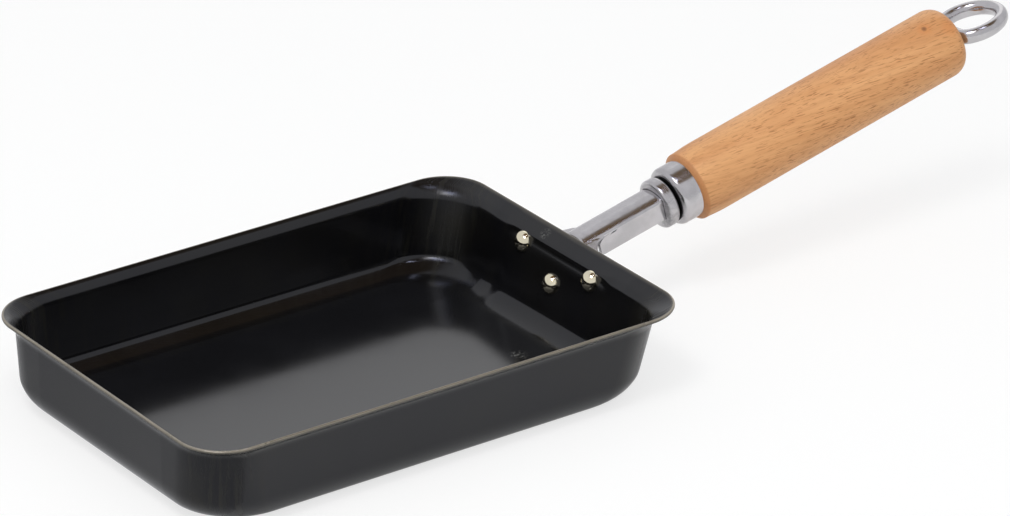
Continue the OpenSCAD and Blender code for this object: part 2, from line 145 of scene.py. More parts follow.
class HandleSizes(bpy.types.PropertyGroup):
    """Sizes of everything on the handle's axis."""

    rise: in_degrees("Rise", "Rise of the handle's axis", 13.4)
    axis_drop: in_mm("Drop", "Depth of the axis below the rim", 5.7)
    collar_start: in_mm("Neck", "Bare channel from rim to collar", 33.2)
    collar_d: in_mm("Collar", "Diameter of the collar", 16.9)
    collar_length: in_mm("Collar length", "Length of the collar", 4.2)
    collar_pocket: in_mm("Pocket", "Depth of the channel in the collar", 2.4)
    collar_fit: in_mm("Fit", "Clearance round the channel's end", 0.1)
    collar_round: in_mm("Collar edge", "Radius of the collar's edges", 1.1)
    groove_d: in_mm("Groove", "Diameter of the washer face", 14.0)
    groove_width: in_mm("Groove width", "Width of the groove", 0.9)
    ferrule_d: in_mm("Ferrule", "Diameter of the ferrule", 20.0)
    ferrule_length: in_mm("Ferrule length", "Length of the ferrule", 7.4)
    ferrule_wall: in_mm("Ferrule wall", "Wall of the ferrule", 1.0)
    ferrule_round: in_mm("Shoulder", "Radius of the ferrule's shoulder", 2.0)
    wood_length: in_mm("Wood", "Length of the wood that shows", 111.3)
    wood_d: in_mm("Wood diameter", "Diameter of the wood", 24.2)
    wood_front_d: in_mm("Wood front", "Diameter behind the chamfer", 23.4)
    wood_swell: in_mm("Swell", "Length of the swelling", 9.0)
    wood_chamfer: in_mm("Chamfer", "Length of the front chamfer", 1.3)
    end_round_length: in_mm("End rounding", "Length of the rounding", 4.6)
    end_round_depth: in_mm("End depth", "Depth of the rounding", 3.3)
    bolt_d: in_mm("Tie bolt", "Diameter of the tie bolt", 4.0)
    bolt_fit: in_mm("Bolt clearance", "Clearance of the tie bolt", 0.4)
    eye_wire: in_mm("Wire", "Width of the eye's wire in its plane", 4.3)
    eye_depth_wire: in_mm("Wire depth", "Depth of the wire across its plane", 5.1)
    eye_lift: in_mm("Eye lift", "Height of the eye's middle over the axis", 0.8)
    eye_radius: in_mm("Eye", "Radius of the eye's middle line", 10.6)
    eye_corner: in_mm("Eye corner", "Radius of its inner corners", 4.0)
    eye_stand: in_mm("Stand", "Wood to the near wire's middle", 2.3)
    eye_depth: in_mm("Depth", "Near wire to the middle of the eye", 8.2)
    eye_turn: in_degrees("Turn", "Turn of the eye about the axis", -8.0)
    eye_shoulder_d: in_mm("Eye shoulder", "Diameter of its shoulder", 8.0)
    eye_shoulder: in_mm("Shoulder", "Thickness of its shoulder", 1.0)
    nut_height: in_mm("Nut", "Thickness of the nut", 3.2)
    bolt_tail: in_mm("Bolt tail", "Length of the bolt past the nut", 1.5)


class FinishColours(bpy.types.PropertyGroup):
    """Colours of the finishes."""

    black: rgb("Blackening", "Baked-on black of the sheet", (0.0036, 0.0036, 0.0044))
    bare: rgb("Worn edge", "Bare steel on the cut edge", (0.40, 0.36, 0.29))
    oxide: rgb("Oxide", "Faint olive cast where the steel was drawn most", (0.0125, 0.0115, 0.0075))
    plated: rgb("Plating", "Bright plating of the fittings", (0.56, 0.545, 0.56))
    rivet: rgb("Rivets", "Nickel of the rivets", (0.88, 0.81, 0.62))
    nut: rgb("Nut", "Zinc of the nut", (0.45, 0.44, 0.42))
    wood_light: rgb("Light wood", "Early wood of the beech", (0.75, 0.385, 0.158))
    wood_dark: rgb("Dark wood", "Late wood of the beech", (0.64, 0.295, 0.108))
    wood_fleck: rgb("Flecks", "Short dark flecks in the grain", (0.36, 0.135, 0.034))
    wood_chamfer: rgb("Chamfer", "Browned end grain on the front chamfer", (0.54, 0.225, 0.085))


class StudioSettings(bpy.types.PropertyGroup):
    """The camera's place and the strength of the lights."""

    azimuth: in_degrees("Azimuth", "Camera, from -Y about Z", -35.455)
    elevation: in_degrees("Elevation", "Camera above level", 25.337)
    distance: in_mm("Distance", "Camera from the rim's middle", 1968.3)
    right: in_mm("Right", "Camera's shift to its right", 52.049)
    up: in_mm("Up", "Camera's shift upwards", 15.417)
    lens: in_mm("Lens", "Focal length on a 36 mm film", 224.02)
    sky: plain_number("Sky", "Strength of the world on matt surfaces", 0.62)
    key: plain_number("Key", "Power of the key lamp", 3.85)
    glow: plain_number("Glow", "Radiance of the pale card low behind the pan", 1.25)
    fill: plain_number("Fill", "Power of the broad lamp above the camera", 9.0)


# Mesh helpers

def ease(t):
    """Smooth step: 3t^2 - 2t^3, with t held between 0 and 1."""
    t = np.clip(t, 0.0, 1.0)
    return t * t * (3 - 2 * t)


def mix(a, b, share):
    """a where the share is 0, b where it is 1, and evenly between."""
    return a + (b - a) * share


def into_scene(name, data):
    """Adds an object with this data to the scene."""
    thing = bpy.data.objects.new(name, data)
    bpy.context.scene.collection.objects.link(thing)
    return thing


def new_piece(name, points, faces, material, node, sharp=None, weld=False):
    """Puts points in millimetres and faces into a mesh in metres, and places the piece in the frame.

    weld merges the points where grids meet and at poles. sharp is the angle, in degrees, past
    which an edge stays crisp.
    """
    mesh = bpy.data.meshes.new(name)
    mesh.from_pydata((points * MM).tolist(), [], faces)
    if weld:
        work = bmesh.new()
        work.from_mesh(mesh)
        bmesh.ops.remove_doubles(work, verts=work.verts, dist=1e-6)
        work.to_mesh(mesh)
        work.free()
    mesh.validate()
    mesh.polygons.foreach_set("use_smooth", np.full(len(mesh.polygons), True))
    mesh.materials.append(material)
    mesh.update()
    if sharp is not None:
        mesh.set_sharp_from_angle(angle=math.radians(sharp))
    piece = into_scene(name, mesh)
    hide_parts(node)
    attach(piece, BODY)
    return piece


def strip_faces(rows, columns, closed_rows, closed_columns, flip=False):
    """Quads of a grid of points: each joins a point, the next in its row, and the two a row on."""
    r = np.arange(rows if closed_rows else rows - 1)
    c = np.arange(columns if closed_columns else columns - 1)
    rr, cc = np.meshgrid(r, c, indexing="ij")
    r2, c2 = (rr + 1) % rows, (cc + 1) % columns
    quads = np.stack([rr * columns + cc, rr * columns + c2, r2 * columns + c2, r2 * columns + cc], -1)
    return quads.reshape(-1, 4)[:, ::-1] if flip else quads.reshape(-1, 4)


def handle_frame(pan, handle):
    """Origin at the rim's end on the handle's axis; columns are along it, across it and its upper side."""
    r = math.radians(handle.rise)
    origin = np.array([pan.length / 2, 0.0, pan.height - handle.axis_drop])
    axes = np.array([[math.cos(r), 0, math.sin(r)], [0, 1, 0], [-math.sin(r), 0, math.cos(r)]])
    return origin, axes


def turned(profile, frame, sides, closed=True):
    """Turns a profile of (along, radius) points about a frame's first axis.

    A point is origin + along * axis + radius * (cos a * across + sin a * up), for a round the
    axis. A radius may be an array over a, for a hole that isn't round.
    """
    origin, axes = frame
    a = np.linspace(0, 2 * math.pi, sides, endpoint=False)
    along = np.repeat([[p[0]] for p in profile], sides, axis=1)
    radius = np.stack([np.broadcast_to(p[1], sides) for p in profile])
    local = np.stack([along, radius * np.cos(a), radius * np.sin(a)], -1)
    return (local @ axes + origin).reshape(-1, 3), strip_faces(len(profile), sides, closed, True)


def bolt_hole(handle):
    """Radius of the hole for the tie bolt."""
    return (handle.bolt_d + handle.bolt_fit) / 2


def arc(centre, radii, start, end, steps):
    """Points on an arc in a profile: centre + (reach * cos a, rise * sin a), a in degrees."""
    reach, rise = radii
    a = np.radians(np.linspace(start, end, steps))
    return [(centre[0] + reach * c, centre[1] + rise * s) for c, s in zip(np.cos(a), np.sin(a))]


# The pressed pan

def down(angle):
    """Direction down along a sheet that slopes by the angle, as (inwards, height)."""
    return np.stack([np.cos(angle), -np.sin(angle)])


def outwards(angle):
    """Direction out of the outer face of that sheet."""
    return np.stack([-np.sin(angle), -np.cos(angle)])


def wall_station(pan, form, depth, part, t):
    """A point of the wall's section, (inwards, height), for a form (straight lip, radius, draft).

    lip: from the rim straight down the lip. bend: on the radius under the lip, from the lip's
    slope to the wall's. wall: straight. hollow: on the floor's radius, down to level.
    depth is measured from the inner face out through the sheet.
    """
    lip, radius, draft = form
    slope = np.full_like(draft, math.radians(pan.lip_slope))
    lean = np.radians(90 - draft)
    rim = np.stack([pan.sheet * np.sin(slope), np.full_like(draft, pan.height)])
    centre = rim + lip * down(slope) + (radius + pan.sheet) * outwards(slope)

    def bend(share):
        return centre - (radius + pan.sheet - depth) * outwards(slope + (lean - slope) * share)

    top = centre - (radius + pan.sheet) * outwards(lean)
    foot = pan.sheet + pan.floor_radius * (1 - np.sin(np.radians(draft)))
    hollow_middle = np.stack([
        top[0] + (top[1] - foot) * np.tan(np.radians(draft)) + pan.floor_radius * np.cos(np.radians(draft)),
        np.full_like(draft, pan.sheet + pan.floor_radius)])

    def hollow(share):
        angle = lean * (1 - share)
        swell, slide = foot_swell(pan, angle, lean) if depth == 0 else (0.0, 0.0)
        return hollow_middle + (pan.floor_radius + depth + swell) * outwards(angle) - slide * down(angle)

    rim = rim + rim_tuck(pan) * down(slope)
    if part == "edge":
        bulge = pan.edge_bulge * pan.sheet * math.sin(math.pi * t)
        return rim + depth * outwards(slope) - bulge * down(slope)
    if part == "lip":
        return mix(rim + depth * outwards(slope), bend(0.0), t)
    if part == "bend":
        return bend(t)
    if part == "wall":
        return mix(bend(1.0), hollow(0.0), t)
    return hollow(t)


def foot_swell(pan, angle, lean):
    """How far the inner hollow stands out of its plain arc, and how fast that grows with the slope.

    Inside, the hollow is two arcs: the foot's tight radius next to the wall and a wider one down
    to the floor. With h the reach from the plain arc's middle, a curve's radius is h + h'', so
    the swell e solves e'' + e = spread below the foot's slope and foot - floor radius above it,
    with e = 0 at the floor and at the wall: two (1 - cos) terms and a sine.
    """
    start = math.radians(pan.foot_angle)
    gain, drop = pan.foot_spread, pan.foot_spread + pan.floor_radius - pan.foot_radius
    past = np.maximum(angle - start, 0)
    tie = (drop * (1 - np.cos(lean - start)) - gain * (1 - np.cos(lean))) / np.sin(lean)
    swell = gain * (1 - np.cos(angle)) - drop * (1 - np.cos(past)) + tie * np.sin(angle)
    return swell, gain * np.sin(angle) - drop * np.sin(past) + tie * np.cos(angle)


def rim_tuck(pan):
    """How far the round cut edge is moved back along the lip, so that it ends at the rim's size.

    Across the edge its reach is a cosine from the sheet's thickness plus a sine from the
    bulge, whose peak is sqrt(a^2 + b^2) instead of a.
    """
    slope = math.radians(pan.lip_slope)
    a = pan.sheet * math.sin(slope) / 2
    b = pan.edge_bulge * pan.sheet * math.cos(slope)
    return (math.hypot(a, b) - a + SKIM) / math.cos(slope)


# Slopes of the seat's face against its plane, in degrees, at places down from the crease in mm.
CREASE_SLOPES = ((0, -9), (1.1, -9), (1.6, 9), (3.6, 4), (5.0, 0), (5.6, -1.2), (10.0, -1.2), (12.0, 0))


def crease_form(s):
    """Form of the seat's face below its crease, in from the plane, for s down the seat.

    The press leaves the face steeper for a millimetre, then swells out a little and runs back.
    This is the running integral of the tangent of those slopes.
    """
    places, slopes = zip(*CREASE_SLOPES)
    way_down = np.linspace(0, places[-1], 241)
    slope = np.radians(np.interp(way_down, places, slopes))
    form = np.concatenate([[0], np.cumsum(np.tan((slope[1:] + slope[:-1]) / 2) * way_down[1])])
    return np.interp(s, way_down, form - form[-1] * way_down / way_down[-1])


# Share of the corner radius's change from rim to wall that falls to the lip.
LIP_SHARE = 0.2


def corner_radius(pan, depth, part, t):
    """Corner radius seen from above: the rim's, then the wall's under the lip, then the base's.

    Inside the hollow it grows by what the section swells, so that the sheet keeps its thickness.
    """
    r = pan.rim_corner
    if part == "lip":
        r = mix(pan.rim_corner, pan.wall_corner, LIP_SHARE * t)
    elif part == "bend":
        r = mix(pan.rim_corner, pan.wall_corner, mix(LIP_SHARE, 1.0, t))
    elif part == "wall":
        r = mix(pan.wall_corner, pan.base_corner, 0.5 * t)
    elif part == "hollow":
        r = mix(pan.wall_corner, pan.base_corner, 0.5 + 0.5 * float(ease(4 * t)))
        if depth == 0:
            lean = math.radians(90 - pan.side_draft)
            angle = lean * (1 - t)
            swell, slide = foot_swell(pan, angle, lean)
            r += float(swell * math.sin(angle) + slide * math.cos(angle))
    return r - pan.sheet + depth


CORNER_STEPS = 22
SIDE_STEPS = 30
SEAT_STEPS = 24
RUNOUT_STEPS = 8
# Steps from the seat's run-out to a corner.
JOIN_STEPS = 4


def pan_ring(pan, depth, part, t):
    """One level ring round the pan.

    On a straight wall a point is (half size - inwards, along). On a corner it is the corner's
    middle + r * (sin, cos) with the heights of its two walls mixed by the share of the turn.
    Over the seat the wall's form is mixed with the seat's by a smooth step in y.
    """
    forms = {"far": (pan.lip_length, pan.lip_radius, pan.far_draft),
             "side": (pan.lip_length, pan.lip_radius, pan.side_draft),
             "end": (pan.end_lip, pan.lip_radius, pan.end_draft)}
    section = {wall: wall_station(pan, [np.array([float(v)]) for v in form], depth, part, t)[:, 0]
               for wall, form in forms.items()}
    r = corner_radius(pan, depth, part, t)

    def corner(wall, x_sign, y_sign):
        """The corner with these signs, from its x wall to its side wall or, with unlike signs, back."""
        share = np.linspace(0, 1, CORNER_STEPS + 1)[::x_sign * y_sign]
        a = share * math.pi / 2
        x_wall, y_wall = section[wall], section["side"]
        return np.stack([
            x_sign * (pan.length / 2 - x_wall[0] - r * (1 - np.cos(a))),
            y_sign * (pan.width / 2 - y_wall[0] - r * (1 - np.sin(a))),
            mix(x_wall[1], y_wall[1], share)], -1)

    seat_half, seat_end = pan.seat_width / 2, seat_reach(pan)
    runout = mix(seat_half, seat_end, np.linspace(0, 1, RUNOUT_STEPS + 1)[1:])
    y = np.concatenate([-runout[::-1], np.linspace(-seat_half, seat_half, SEAT_STEPS + 1), runout])
    share = ease((seat_end - np.abs(y)) / (seat_end - seat_half))
    form = [mix(a, b, share) for a, b in zip(forms["end"], (pan.seat_lip, pan.seat_radius, pan.seat_draft))]
    wall = wall_station(pan, form, depth, part, t)
    if part == "wall" and depth == 0:
        foot = wall_station(pan, form, depth, part, 1.0)
        s = np.linalg.norm(foot - wall_station(pan, form, depth, part, 0.0), axis=0) * t
        wall = wall - share * crease_form(s) * outwards(np.radians(90 - form[2]))
    seat = np.stack([pan.length / 2 - wall[0], y, wall[1]], -1)

    pieces = [seat, corner("end", 1, 1), corner("far", -1, 1), corner("far", -1, -1), corner("end", 1, -1)]
    counts = [JOIN_STEPS, SIDE_STEPS, SIDE_STEPS, SIDE_STEPS, JOIN_STEPS]
    out = []
    for piece, after, count in zip(pieces, pieces[1:] + pieces[:1], counts):
        out += [piece, mix(piece[-1], after[0], np.linspace(0, 1, count + 1)[1:-1, None])]
    return np.concatenate(out)


def seat_reach(pan):
    """Where the seat's run-out ends, kept clear of the corners as part.scad does."""
    one = [np.array([v]) for v in (pan.lip_length, pan.lip_radius, pan.side_draft)]
    level = wall_station(pan, one, pan.sheet, "hollow", 1.0)[0, 0]
    corner_start = pan.width / 2 - level - pan.base_corner
    return min(pan.seat_width / 2 + pan.seat_runout, corner_start - pan.sheet)


# Wear of the cut edge from the sheet's underside, over its middle, to the lip's top, and beside it.
EDGE_WEAR = (0.16, 0.24, 0.34, 0.60, 1.0, 0.85, 0.50)
WEAR_UNDER, WEAR_ON_LIP = 0.10, 0.18
LIP_RINGS, BEND_RINGS, HOLLOW_RINGS = 4, 11, 15
# Places of the rings down each straight face. Inside, they are close where the seat's crease is.
OUTER_WALL = (0, 0.03, 0.12, 0.3, 0.5, 0.7, 0.88, 0.97)
INNER_WALL = (0, 0.02, 0.05, 0.08, 0.115, 0.16, 0.2, 0.26, 0.34, 0.45, 0.6, 0.75, 0.88, 0.97)
# The corners are drawn hardest, the sides by a share of it. A corner starts at these distances from
# the middle, in mm, and is full after the run.
CORNER_FROM, CORNER_RUN, SIDE_DRAWN = (58, 32), 22, 0.25
# Sizes of the rings that close a flat, as shares of its rim.
FLAT_RINGS = (0.985, 0.95, 0.88, 0.76, 0.6, 0.4, 0.2)


def pan_surface(pan):
    """The whole skin: up the outside, over the cut edge, down the inside, with both flats closed.

    Each flat is a fan of rings shrunk towards its middle. Returns points, faces, each point's
    (way round, way over the section) for the pattern, the wear, and how hard it was drawn.
    """
    below = [("lip", t) for t in np.linspace(0, 1, LIP_RINGS + 1)[:-1]]
    below += [("bend", t) for t in np.linspace(0, 1, BEND_RINGS + 1)[:-1]]
    hollow = [("hollow", t) for t in np.linspace(0, 1, HOLLOW_RINGS)]
    outer = below + [("wall", t) for t in OUTER_WALL] + hollow
    inner = below + [("wall", t) for t in INNER_WALL] + hollow
    edge = np.linspace(0, 1, len(EDGE_WEAR) + 2)[1:-1]
    rings = [pan_ring(pan, pan.sheet, part, t) for part, t in outer[::-1]]
    rings += [pan_ring(pan, pan.sheet * (1 + math.cos(math.pi * t)) / 2, "edge", t) for t in edge]
    rings += [pan_ring(pan, 0.0, part, t) for part, t in inner]

    def flat(ring, order):
        middle = np.array([0.0, 0.0, ring[0, 2]])
        return [middle + (ring - middle) * s for s in order]

    base, floor = rings[0], rings[-1]
    rings = flat(base, FLAT_RINGS[::-1]) + rings + flat(floor, FLAT_RINGS)
    before, behind = len(FLAT_RINGS) + len(outer), len(inner) + len(FLAT_RINGS)
    wear = [0.0] * (before - 1) + [WEAR_UNDER, *EDGE_WEAR, WEAR_ON_LIP] + [0.0] * (behind - 1)
    rows, n = len(rings), len(rings[0])
    points = np.concatenate(rings + [[[0, 0, base[0, 2]], [0, 0, floor[0, 2]]]])
    i = np.arange(n)
    j = (i + 1) % n
    last = (rows - 1) * n
    faces = strip_faces(rows, n, False, True).tolist()
    faces += np.stack([np.full(n, rows * n), j, i], -1).tolist()
    faces += np.stack([np.full(n, rows * n + 1), last + i, last + j], -1).tolist()
    rim = rings[before]
    step = np.linalg.norm(np.roll(rim, -1, 0) - rim, axis=1)
    around = np.tile(np.concatenate([[0], np.cumsum(step)[:-1]]), rows)
    over = np.cumsum([0] + [np.linalg.norm(b - a, axis=1).mean() for a, b in zip(rings, rings[1:])])
    over = np.append(np.repeat(over, n), [over[0], over[-1]])
    pattern = np.stack([np.append(around, [0, 0]), over], -1)
    corner = ease((np.abs(points[:, 0]) - CORNER_FROM[0]) / CORNER_RUN) \
        * ease((np.abs(points[:, 1]) - CORNER_FROM[1]) / CORNER_RUN)
    drawn = [0.0] * len(FLAT_RINGS) + [1.0] * (rows - 2 * len(FLAT_RINGS)) + [0.0] * len(FLAT_RINGS)
    drawn = np.append(np.repeat(drawn, n), [0, 0]) * mix(SIDE_DRAWN, 1.0, corner)
    return points, faces, pattern, np.append(np.repeat(wear, n), [0, 0]), drawn


def float_attribute(mesh, name, values):
    """Gives each point of the mesh a number that its finish reads."""
    layer = mesh.attributes.new(name, "FLOAT", "POINT")
    layer.data.foreach_set("value", np.asarray(values, np.float32))


# The bracket and its rivets

def seat_frame(pan):
    """Top of the seat's inner face as (x, z), the way down the seat and the way out through the sheet."""
    form = [np.array([v]) for v in (pan.seat_lip, pan.seat_radius, pan.seat_draft)]
    inwards, height = wall_station(pan, form, 0.0, "bend", 1.0)[:, 0]
    c, s = math.cos(math.radians(pan.seat_draft)), math.sin(math.radians(pan.seat_draft))
    return np.array([pan.length / 2 - inwards, height]), np.array([-s, -c]), np.array([c, -s])


def way(angle):
    """Direction (x, z) that rises by the angle."""
    return np.array([math.cos(angle), math.sin(angle)])


def round_turn(corner, before, after, radius, steps):
    """Arc tangent to two lines that meet at a corner and turn clockwise, as (x, z, way) rows."""
    tangent = radius * math.tan((before - after) / 2)
    centre = corner - tangent * way(before) + radius * np.array([math.sin(before), -math.cos(before)])
    a = np.linspace(before, after, steps)
    return np.stack([centre[0] - radius * np.sin(a), centre[1] + radius * np.cos(a), a], -1), tangent


def flange_rounds(bracket):
    """Depths of the flange's upper and lower rounds, half the upper ones' spread, and the hull's tilt."""
    top, low = bracket.flange_corner + 0.1, bracket.rivet_depth + bracket.rivet_drop
    half = bracket.rivet_spread + 0.3
    return top, low, half, math.atan2(low - top, half)


def flange_half_width(bracket, depth):
    """Half the flange's width at a depth below the crease: two upper rounds and a lower one, hulled."""
    r = bracket.flange_corner
    top, low, half, tilt = flange_rounds(bracket)
    hull = np.interp(depth, [top + r * math.cos(tilt), low + r * math.cos(tilt)],
                     [half + r * math.sin(tilt), r * math.sin(tilt)])
    upper = half + np.sqrt(np.maximum(r * r - (depth - top) ** 2, 0))
    lower = np.sqrt(np.maximum(r * r - (depth - low) ** 2, 0))
    hull = np.where(depth > low + r * math.cos(tilt), lower, hull)
    return np.where(depth < top + r * math.cos(tilt), upper, hull)


# Where the fishtail's hollow side starts on its circle, in degrees.
TAIL_TIP = 195


def tail_half_width(bracket, x):
    """Half the fishtail's width out along the handle: a hollow arc that runs into the channel."""
    half, r, start = bracket.channel_width / 2, bracket.tail_radius, bracket.tail_start
    tip = math.radians(TAIL_TIP)
    tip_x, tip_y = start + r * math.cos(tip), half + r * (1 + math.sin(tip))
    hollow = half + r - np.sqrt(np.maximum(r * r - np.minimum(x - start, 0) ** 2, 0))
    flank = np.interp(x, [-2, tip_x], [bracket.tail_half_width, tip_y])
    return np.where(x < tip_x, flank, hollow)


# How the flange's width runs into the fishtail's on the first bend, and x for the flange's rows.
FLANGE_RUN = (0.35, 0.12, 0.03)
BEHIND = -10
# Inner radii of the strap's two turns, in mm, and the angles on the flange's rounds, in radians,
# where its rows start and end.
FOLD_INNER, BEND_INNER = 0.5, 2.3
FLANGE_FROM, FLANGE_TO = 0.06, 2.62


def bracket_side_view(pan, handle, bracket):
    """The strap's upper face in side view: rows of (x, z, way), the half widths, and x along the handle.

    It runs up the seat, turns to the lip's slope and turns again to the handle's line. Each
    turn is a tangent arc.
    """
    seat_top, _, out = seat_frame(pan)
    lean, slope, rise = (math.radians(v) for v in (90 - pan.seat_draft, pan.lip_slope, handle.rise))
    origin = np.array([pan.length / 2, pan.height - handle.axis_drop])
    level = origin + bracket.tail_level * way(rise + math.pi / 2)
    fold = seat_top + (pan.sheet + bracket.seat_gap) * out

    def cross(a, b):
        return a[0] * b[1] - a[1] * b[0]

    bend = fold + way(slope) * cross(level - fold, way(rise)) / cross(way(slope), way(rise))
    first, reach = round_turn(fold, lean, slope, bracket.strap + FOLD_INNER, 9)
    second, _ = round_turn(bend, slope, rise, bracket.strap + BEND_INNER, 7)
    r = bracket.flange_corner
    top, low, _, tilt = flange_rounds(bracket)
    depth = np.concatenate([low + r * np.cos(np.linspace(FLANGE_FROM, tilt, 6)),
                            np.linspace(low + r * math.cos(tilt), top + r * math.cos(tilt), 9)[1:-1],
                            top + r * np.cos(np.linspace(tilt, FLANGE_TO, 16))])
    depth = depth[depth > reach + 0.05]
    seat_rows = np.stack([fold[0] - depth * math.cos(lean), fold[1] - depth * math.sin(lean),
                          np.full_like(depth, lean)], -1)
    between = np.linspace(first[-1], second[0], 4)[1:-1]
    between[:, 2] = slope
    start = (second[-1, :2] - origin) @ way(rise)
    arc_x = bracket.tail_start + bracket.tail_radius * np.cos(np.radians(np.linspace(TAIL_TIP, 270, 24)))
    fold_end = bracket.fold_start + bracket.fold_round
    end = handle.collar_start + handle.collar_pocket
    x = np.concatenate([np.linspace(start, arc_x[0], 6)[1:-1], arc_x, [(bracket.tail_start + fold_end) / 2],
                        np.linspace(fold_end, end, 16)])
    line = np.stack([level[0] + x * math.cos(rise), level[1] + x * math.sin(rise), np.full_like(x, rise)], -1)
    rows = np.concatenate([seat_rows, first, between, second, line])
    along = (rows[:, :2] - origin) @ way(rise)
    width = tail_half_width(bracket, along)
    width[:len(depth)] = flange_half_width(bracket, depth)
    flange, neck = width[len(depth) - 1], width[len(depth) + len(FLANGE_RUN)]
    width[len(depth):len(depth) + len(FLANGE_RUN)] = neck + np.array(FLANGE_RUN) * (flange - neck)
    along[:len(depth)] = BEHIND
    return rows, width, along


def channel_shape(bracket, fit=0.0):
    """Crown radius of the channel, widened by a fit, and the y and tilt where it meets the shoulder."""
    corner = bracket.channel_width / 2 + fit - bracket.shoulder_radius
    rise, r = bracket.crown_rise, bracket.shoulder_radius
    crown = (corner ** 2 + (rise + r) ** 2 - r ** 2) / (2 * rise)
    tilt = math.asin(corner / (crown - r))
    return crown, crown * math.sin(tilt), tilt


CROWN_STEPS = 7
FLANK_STEPS = 15
# Places along the handle, in mm, where the rib, the flank's droop and the sides' turn begin, and
# how far the first two take.
RIB_START, RIB_RUN = 0.8, 1.4
DROOP_START, DROOP_RUN = -0.5, 3.5
UPRIGHT_START = 5
# Longest way across half the strap, in mm, and the steps in which it is measured.
ACROSS, ACROSS_STEPS = 24, 2401


def bracket_section(bracket, along, width):
    """Half sections across the strap, as y and drop from its line, one row per place along it.

    The section is a low rib on a drooping flank. The crown is an arc of curvature k / crown
    radius. Beyond it the tilt grows evenly over the shoulder to the rib's side, falls back
    over a hollow foot to the flank's tilt, and then stays. A point is the integral of
    (cos tilt, sin tilt). Towards the folded sides both tilts grow to upright.
    """
    crown, edge, _ = channel_shape(bracket)
    fold_end = bracket.fold_start + bracket.fold_round
    share = ease((along - RIB_START) / RIB_RUN)
    lift = (bracket.channel_top + bracket.crown_rise - bracket.tail_level) * share
    curve = (share / crown)[:, None]
    crown_y = np.minimum(edge, 0.9 * width)[:, None]
    y = crown_y * np.linspace(0, 1, CROWN_STEPS + 1)
    drop = curve * y ** 2 / (1 + np.sqrt(1 - (curve * y) ** 2))
    start = np.arcsin(curve * crown_y)
    droop = math.radians(bracket.tail_droop)
    upright = ease((along - UPRIGHT_START) / (fold_end - UPRIGHT_START))
    flank = (droop * ease((along - DROOP_START) / DROOP_RUN) + (math.pi / 2 - droop) * upright)[:, None]
    side = math.radians(bracket.rib_side) + (math.pi / 2 - math.radians(bracket.rib_side)) * upright
    side = np.maximum(mix(flank, side[:, None], share[:, None]), start)
    shoulder = bracket.shoulder_radius * (side - start) + 0.2 * (1 - share)[:, None]
    foot = bracket.rib_radius * np.abs(side - flank)

    def bent(s, length, before, after):
        """Integral of (cos, sin) of a tilt that changes evenly over a length: chords at half the turn."""
        length = np.maximum(length, 1e-6)
        on = np.clip(s, 0, length)
        half_turn = (after - before) * on / length / 2
        chord = on * np.sinc(half_turn / math.pi)
        return np.stack([chord * np.cos(before + half_turn), chord * np.sin(before + half_turn)])

    def run(s):
        rest = np.maximum(s - shoulder - foot, 0)
        return bent(s, shoulder, start, side) + bent(s - shoulder, foot, side, flank) \
            + np.stack([rest * np.cos(flank), rest * np.sin(flank)])

    fine = np.broadcast_to(np.linspace(0, ACROSS, ACROSS_STEPS), (len(along), ACROSS_STEPS))
    reach = run(fine)[0] + crown_y
    length = np.array([np.interp(w, row, fine[0]) for w, row in zip(width, reach)])
    length = np.where(along > fold_end - 1e-6, shoulder[:, 0], length)[:, None]
    first = np.clip(shoulder, 0.1 * length, length / 3)
    second = np.clip(shoulder + foot, first + 0.1 * length, 2 * length / 3)
    part = np.linspace(0, 1, FLANK_STEPS // 3 + 1)[1:]
    out, fall = run(np.concatenate([first * part, mix(first, second, part), mix(second, length, part)], 1))
    return (np.concatenate([y, crown_y + out], 1),
            np.concatenate([drop, drop[:, -1:] + fall], 1) - lift[:, None])


# Radius, in mm, of the tongue's lower corner.
TONGUE_TOE = 1.5


